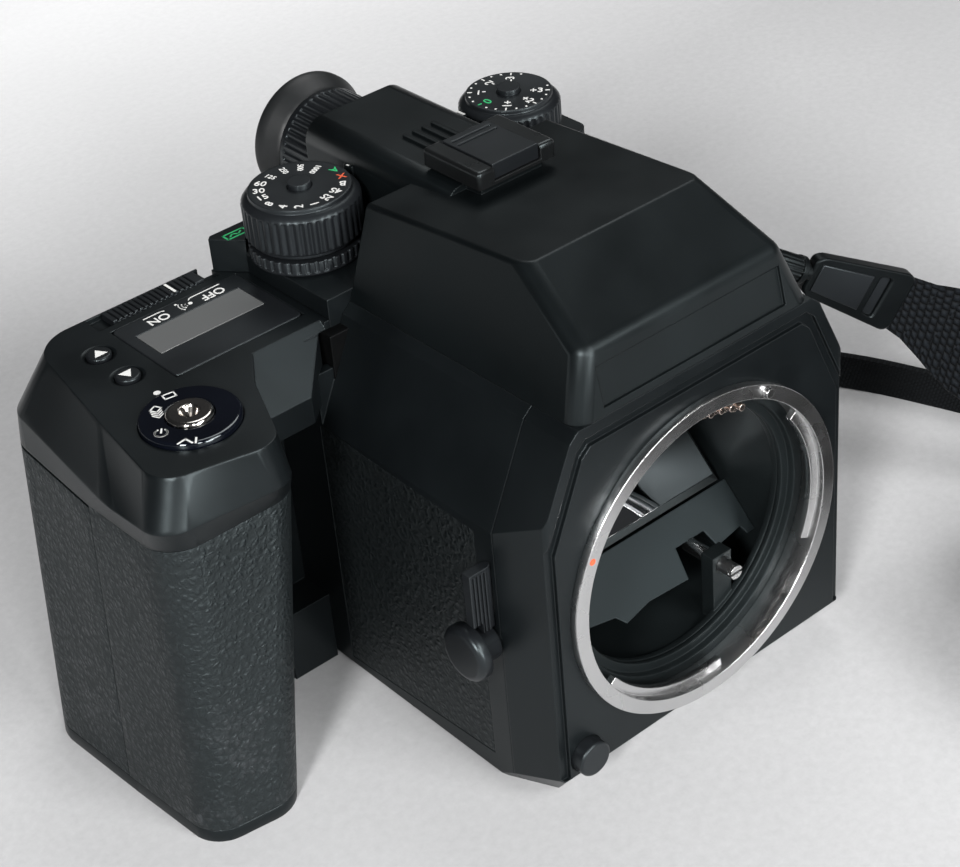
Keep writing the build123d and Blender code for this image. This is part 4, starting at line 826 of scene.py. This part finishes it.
def knob(name, centre, radius, disc_r, foot, ribs, node):
    """A ribbed knob with a raised disc on top and an undercut foot, in place of a node and on its body."""
    build = Builder()
    top = dial_top
    rib_low = foot + 1.6
    rib_high = top - 2.4
    profile = [
        (4.0, foot), (radius - 1.5, foot), (radius - 1.2, foot + 0.3), (radius - 1.2, foot + 1.0),
        (radius - 0.5, foot + 1.3), (radius, foot + 1.7), (radius, foot + 2.2), (radius, top - 3.0),
        (radius, top - 2.5), (radius - 0.12, top - 2.2), (radius - 0.5, top - 1.7),
        (radius - 1.0, top - 1.35), (disc_r + 0.35, top - 1.1), (disc_r + 0.1, top - 1.05),
        (disc_r, top - 0.95), (disc_r, top - 0.18),
        (disc_r - 0.05, top - 0.06), (disc_r - 0.2, top), (disc_r - 0.45, top - 0.02),
        (bore_r + 0.05, top - 0.02), (bore_r, top - 0.1), (bore_r, top - 0.9),
    ]

    def wobble(angle, along):
        if not rib_low <= along / mm <= rib_high:
            return 0.0
        return -rib_depth * mm * (0.5 - 0.5 * cos(ribs * angle)) ** rib_shape

    build.turned(profile, at(*centre, 0), upward, right, ribs * rib_steps, wobble)
    build.piece(name, paints["dial_black"], node, replaces=(node,))


def marks(name, body, colour, draw):
    """Painted marks on a body, drawn by a function."""
    build = Builder()
    draw(build)
    build.piece(name, colour, body, smooth=False)


shutter_labels = [
    ("X", -21.2, "red"), ("B", -42.4, "white"), ("4S", -63.5, "white"), ("2S", -84.7, "white"),
    ("1", -105.9, "white"), ("2", -127, "white"), ("4", -148.2, "white"), ("8", -169.4, "white"),
    ("15", 169.4, "white"), ("30", 148.2, "white"), ("60", 127, "white"), ("125", 104, "white"),
    ("250", 78, "white"), ("500", 52, "white"), ("1000", 26, "white"), ("A", 0, "green"),
]
label_r = 9.9
label_pull = 0.62
label_size = 2.75
long_label_size = 1.9
sign_r = 6.3
sign_size = 2.9
zero_r = 6.4
zero_size = 3.2
tick_half = 0.4
tick_r = 8.8
tick_w = 0.34
zero_tick_r = 8.5
zero_tick_w = 0.3
index_w = 0.7
dot_r = 8.9
dot_size = 0.26
dot_sides = 12
mark_floor = dial_top - 0.02
letter_middle = mark_floor + paint_t / 2


def shutter_dial_look():
    """Shutter dial with its times, read inwards."""
    knob("shutter_dial_knob", shutter_centre, radius=12.9, disc_r=11.15, foot=98.5, ribs=44,
         node="shutter_dial")
    for colour, name in ((white_mark, "white"), (red_mark, "red"), (green_mark, "green")):
        labels = [(words, angle) for words, angle, kind in shutter_labels if kind == name]

        def draw(build):
            for words, angle in labels:
                across = -turn(angle)
                size = label_size if len(words) < 3 else long_label_size
                place = around(shutter_centre, label_r - label_pull * len(words), angle, letter_middle)
                build.text(words, size * mm, place, across, upward.cross(across), paint_t * mm)

        marks("shutter_dial_" + name, "shutter_dial", colour, draw)


def comp_dial_look():
    """Compensation dial with its steps, read outwards, and its ticks and dots."""
    knob("comp_dial_knob", comp_centre, radius=11.6, disc_r=9.84, foot=100.8, ribs=40, node="comp_dial")

    def step_mark(build, words, angle, reach, size, tick_reach, width):
        across = turn(angle)
        up = upward.cross(across)
        place = around(comp_centre, reach, angle, letter_middle)
        build.text(words, size * mm, place, across, up, paint_t * mm)
        place = around(comp_centre, tick_reach, angle, mark_floor)
        stroke(build, [(-tick_half, 0), (tick_half, 0)], width, place, across, up, paint_t)

    def draw(build):
        for i in (-3, -2, -1, 1, 2, 3):
            step_mark(build, f"{i:+d}", 180 + 45 * i, sign_r, sign_size, tick_r, tick_w)
        for k in range(-10, 11):
            if k % 3:
                place = around(comp_centre, dot_r, 180 + 15 * k, mark_floor)
                disc(build, dot_size, place, right, rear, paint_t, dot_sides)

    def draw_zero(build):
        step_mark(build, "0", 180, zero_r, zero_size, zero_tick_r, zero_tick_w)

    marks("comp_dial_white", "comp_dial", white_mark, draw)
    marks("comp_dial_green", "comp_dial", green_mark, draw_zero)


def dial_indexes():
    """White paint on the two index tabs and the green mark beside the shutter dial."""
    def draw(build):
        stroke(build, [(-14.3, 0), (-12.2, 0)], index_w, at(0, 92.8, 109.4), right, rear, paint_t)
        stroke(build, [(92.7, 0.0), (94.9, 0.0)], index_w, at(18.15, 0, 109.0), rear, -right, paint_t)

    def draw_green(build):
        place = at(-37.6, 104.6, 98.0)
        frame_line = [(-2.6, -1.1), (-2.6, 1.1), (2.6, 1.1), (2.6, -1.1)]
        zigzag = [(-1.5, -0.3), (-0.5, 0.5), (0.5, -0.5), (1.5, 0.3)]
        stroke(build, frame_line, 0.42, place, -right, -rear, paint_t, True)
        stroke(build, zigzag, 0.4, place, -right, -rear, paint_t)

    marks("dial_indexes", "camera_body", white_mark, draw)
    marks("platform_mark", "camera_body", green_mark, draw_green)


shutter_dial_look()
comp_dial_look()
dial_indexes()


# Marks on the grip cover

drive_top = 91.4
drive_dot_r = 0.75
cover_top = 90.15
button_top = 90.5
frame_w = 0.32
stack_w = 0.3
stack_behind_w = 0.24
stack_shift = 0.5
timer_r = 1.25
timer_w = 0.36
flap_w = 0.4
fine_w = 0.25
word_size = 3.3
word_depth = 99.3
line_depth = 101.5
line_dot_r = 0.28
wave_dot_r = 0.5
wave_w = 0.26
wave_first_r = 0.7
wave_pitch = 0.75
wave_half_angle = 38
switch_index_w = 0.6


def ring_points(radius, start, end, count):
    """Points of an arc about nought."""
    span = [radians(start + (end - start) * i / count) for i in range(count + 1)]
    return [(radius * cos(a), radius * sin(a)) for a in span]


def drive_marks():
    """Frame, stacked frames, self timer and mirror symbols on the drive dial."""
    def draw(build):
        look = Vector((0.79, -0.61, 0))
        over = upward.cross(look)
        stroke(build, [(-1.2, -0.8), (1.2, -0.8), (1.2, 0.8), (-1.2, 0.8)], frame_w,
               at(-78.5, 71.4, drive_top), turn(-10), turn(80), paint_t, True)
        stack = (at(-83.4, 69.1, drive_top), turn(25), turn(115), paint_t)
        stroke(build, [(-0.5, -0.7), (1.2, -0.7), (1.2, 0.9), (-0.5, 0.9)], stack_w, *stack, True)
        for i in range(3):
            shift = stack_shift * (i + 1)
            corners = [(-0.5 - shift, 0.9 - shift), (-0.5 - shift, -0.7 - shift), (1.0 - shift, -0.7 - shift)]
            stroke(build, corners, stack_behind_w, *stack)
        timer = (at(-87.0, 61.6, drive_top), look, over, paint_t)
        stroke(build, ring_points(timer_r, 125, 415, 22), timer_w, *timer)
        stroke(build, [(0, 0), (0, 1.35)], timer_w, *timer)
        flap = (at(-85.2, 55.6, drive_top), look, over, paint_t)
        stroke(build, [(-1.6, -0.7), (-0.2, 0.8), (1.2, -0.7)], flap_w, *flap)
        stroke(build, [(1.9, -0.8), (1.9, 0.9)], flap_w, *flap)

    marks("drive_dial_marks", "drive_dial", white_mark, draw)


def cover_marks():
    """Words and marks beside the display, read from behind, and the dot of the drive dial."""
    def draw(build):
        across, up = -right, -rear
        for words, x in (("OFF", -48.7), ("ON", -62.6)):
            place = at(x, word_depth, cover_top + paint_t / 2)
            build.text(words, word_size * mm, place, across, up, paint_t * mm)
        for points, x in (([(-3.0, 0), (4.6, 0), (5.2, 0.5)], -48.6),
                          ([(-2.6, 0.3), (-2.0, 0), (2.4, 0)], -62.6)):
            stroke(build, points, fine_w, at(x, line_depth, cover_top), across, up, paint_t)
        disc(build, line_dot_r, at(-56.9, 101.4, cover_top), across, up, paint_t, dot_sides)
        place = at(-54.3, 99.6, cover_top)
        disc(build, wave_dot_r, place, across, up, paint_t, dot_sides)
        for i in range(3):
            wave = ring_points(wave_first_r + wave_pitch * i, -wave_half_angle, wave_half_angle, 6)
            stroke(build, [(wave_dot_r + x, y) for x, y in wave], wave_w, place, across, up, paint_t)

    def draw_dot(build):
        disc(build, drive_dot_r, at(-78.6, 76.0, 90.0), right, rear, paint_t)

    marks("cover_words", "camera_body", white_mark, draw)
    marks("drive_dot", "camera_body", white_mark, draw_dot)


def button_triangles():
    """White triangles on the two set buttons."""
    triangle = [(-1.5 * mm, -1.1 * mm), (1.5 * mm, -1.1 * mm), (0, 1.4 * mm)]
    for name, place, way in (("up_button", (-79.0, 97.0), -1), ("down_button", (-79.2, 85.8), 1)):
        def draw(build):
            build.prism(triangle, at(*place, button_top), -right * way, -rear * way, paint_t * mm)

        marks(name + "_mark", name, white_mark, draw)


def switch_mark():
    """White index on the main switch."""
    def draw(build):
        stroke(build, [(-1.9, 0), (1.9, 0)], switch_index_w, at(-54.0, 107.7, button_top), rear, -right,
               paint_t)

    marks("switch_index", "main_switch", white_mark, draw)


drive_marks()
cover_marks()
button_triangles()
switch_mark()


mount_dot_r = 0.75
mount_dot_t = 0.06


def mount_marks():
    """Red index on the lens ring."""
    def draw(build):
        disc(build, mount_dot_r, at(-32.4, 0.02, 62.0), right, upward, mount_dot_t)

    marks("mount_index", "camera_body", red_mark, draw)


mount_marks()


# The fixed apron below the mirror, whose low edge is notched round the drive shaft

apron_slope = radians(45)
apron_hinge = (60.0, 71.0)
apron_t = 0.5
apron_half_w = 29.95
apron_high_reach = 49.0
apron_edge = [(-20.0, 61.0), (-13.0, 62.2), (-11.2, 64.5), (-3.5, 63.1), (8.0, 63.6), (9.2, 56.4),
              (17.8, 56.4), (19.0, 60.9), (26.8, 59.8), (27.6, 62.0)]


def mirror_apron():
    """Thin blackened plate in the mirror's own plane, between its free edge and the floor of the box."""
    build = Builder()
    edge = [(-apron_half_w, apron_edge[0][1])] + apron_edge + [(apron_half_w, apron_edge[-1][1])]
    outline = edge + [(apron_half_w, apron_high_reach), (-apron_half_w, apron_high_reach)]
    down = Vector((0, -cos(apron_slope), -sin(apron_slope)))
    corners = [(x * mm, reach * mm) for x, reach in outline]
    build.prism(corners, at(0, *apron_hinge), right, down, apron_t * mm)
    build.piece("mirror_apron", paints["box_black"], "camera_body", smooth=False, bevel=0.12)


mirror_apron()


# Finish of the CAD nodes

edge_width = 0.3
edge_widths = {
    "prism_cover": 0.9, "front_housing": 0.7, "left_side_cover": 0.5, "right_side_cover": 0.5,
    "grip_top_cover": 0.6, "eyecup": 0.7, "strap_studs": 0.2, "metering_ring": 0.12, "mount_ring": 0.15,
    "hot_shoe": 0.2, "hot_shoe_cover": 0.15, "preview_lever": 0.12, "mount_contacts": 0.1, "af_shaft": 0.1,
    "main_switch": 0.1, "diopter_ring": 0.12, "rear_deck": 0.4,
}
node_bevel_angle = radians(28)
weld_gap = 0.002


def dress_nodes():
    """Each node takes the material of its slot, and those in sight are welded with softened edges."""
    slots = {part["node"]: part["material_slot"] for part in frame["record"]["subparts"]}
    for name, obj in nodes.items():
        obj.data.materials.clear()
        obj.data.materials.append(paints[slots[name]])
        if obj.hide_render:
            continue
        weld = obj.modifiers.new("weld", "WELD")
        weld.merge_threshold = weld_gap * mm
        cut = soften(obj, edge_widths.get(name, edge_width), node_bevel_angle)
        cut.use_clamp_overlap = True
        cut.harden_normals = True


dress_nodes()


# Floor and light

floor_reach = 3500.0
paper_mottle_scale = 9.0
paper_fibre_scale = 420.0
glow_begins = 200.0
glow_full = 400.0
glow_strength = 0.42
fill_color = (0.93, 0.96, 1.0, 1)
fill_strength = 0.03
lamp_aim = (-10, 50, 50)
# Each lamp's direction from the aim, with its distance, width and power
lamps = [
    ("left", (-0.72, -0.48, 0.50), 2300, 420, 52.0),
    ("front", (-0.30, -0.84, 0.45), 2300, 420, 19.0),
    ("high", (0.42, 0.34, 0.80), 2200, 1300, 15.0),
    ("front right", (0.22, -0.79, 0.58), 2100, 850, 26.0),
    ("low front", (0.0, -0.97, 0.22), 2000, 600, 26.0),
]


def paper():
    """Pale mottled paper whose far end glows, to the camera and in reflections but not as a lamp."""
    material, tree, shader, place = paint("paper", (0.66, 0.655, 0.64), 0.85)
    mottle = noise(tree, place, paper_mottle_scale, 5.0, 0.55)
    fibre = noise(tree, place, paper_fibre_scale, 4.0, 0.7)
    base = mixed(tree, ramp(tree, mottle, 0.3, 0.7), (0.515, 0.515, 0.52, 1), (0.555, 0.555, 0.56, 1))
    fleck = ramp(tree, fibre, 0.3, 0.7)
    base = mixed(tree, maths(tree, "MULTIPLY", fleck, 0.6), base, (0.44, 0.44, 0.445, 1))
    tree.links.new(base, shader.inputs["Base Color"])
    raise_bump(tree, shader, fibre, paper_grain_depth, 0.5)
    far = add(tree, "SeparateXYZ", {0: place}).outputs["Y"]
    rays = add(tree, "LightPath").outputs
    bounced = maths(tree, "MAXIMUM", rays["Is Glossy Ray"], rays["Is Transmission Ray"])
    seen = maths(tree, "MAXIMUM", rays["Is Camera Ray"], bounced)
    glow = ramp(tree, far, glow_begins * mm, glow_full * mm, 0.0, glow_strength)
    shader.inputs["Emission Color"].default_value = (1.0, 1.0, 1.0, 1)
    tree.links.new(maths(tree, "MULTIPLY", seen, glow), shader.inputs["Emission Strength"])
    return material


def studio():
    """The paper floor, five soft lamps on the camera body and a faint fill."""
    build = bmesh.new()
    reach = floor_reach * mm
    corners = [build.verts.new((x * reach, y * reach, 0)) for x, y in ((-1, -1), (1, -1), (1, 1), (-1, 1))]
    build.faces.new(corners)
    mesh = bpy.data.meshes.new("floor")
    build.to_mesh(mesh)
    build.free()
    floor_obj = new_object("floor", mesh)
    mesh.materials.append(paper())
    world = bpy.data.worlds.new("studio")
    world.use_nodes = True
    fill = world.node_tree.nodes["Background"].inputs
    fill["Color"].default_value = fill_color
    fill["Strength"].default_value = fill_strength
    bpy.context.scene.world = world
    aim = at(*lamp_aim)
    for name, direction, distance, width, power in lamps:
        data = bpy.data.lights.new(name, "AREA")
        data.shape = "DISK"
        data.size = width * mm
        data.energy = power
        lamp = new_object(name, data)
        lamp.location = aim + Vector(direction).normalized() * distance * mm
        lamp.rotation_euler = (aim - lamp.location).to_track_quat("-Z", "Y").to_euler()
    bpy.context.scene.view_settings.view_transform = "Standard"


studio()
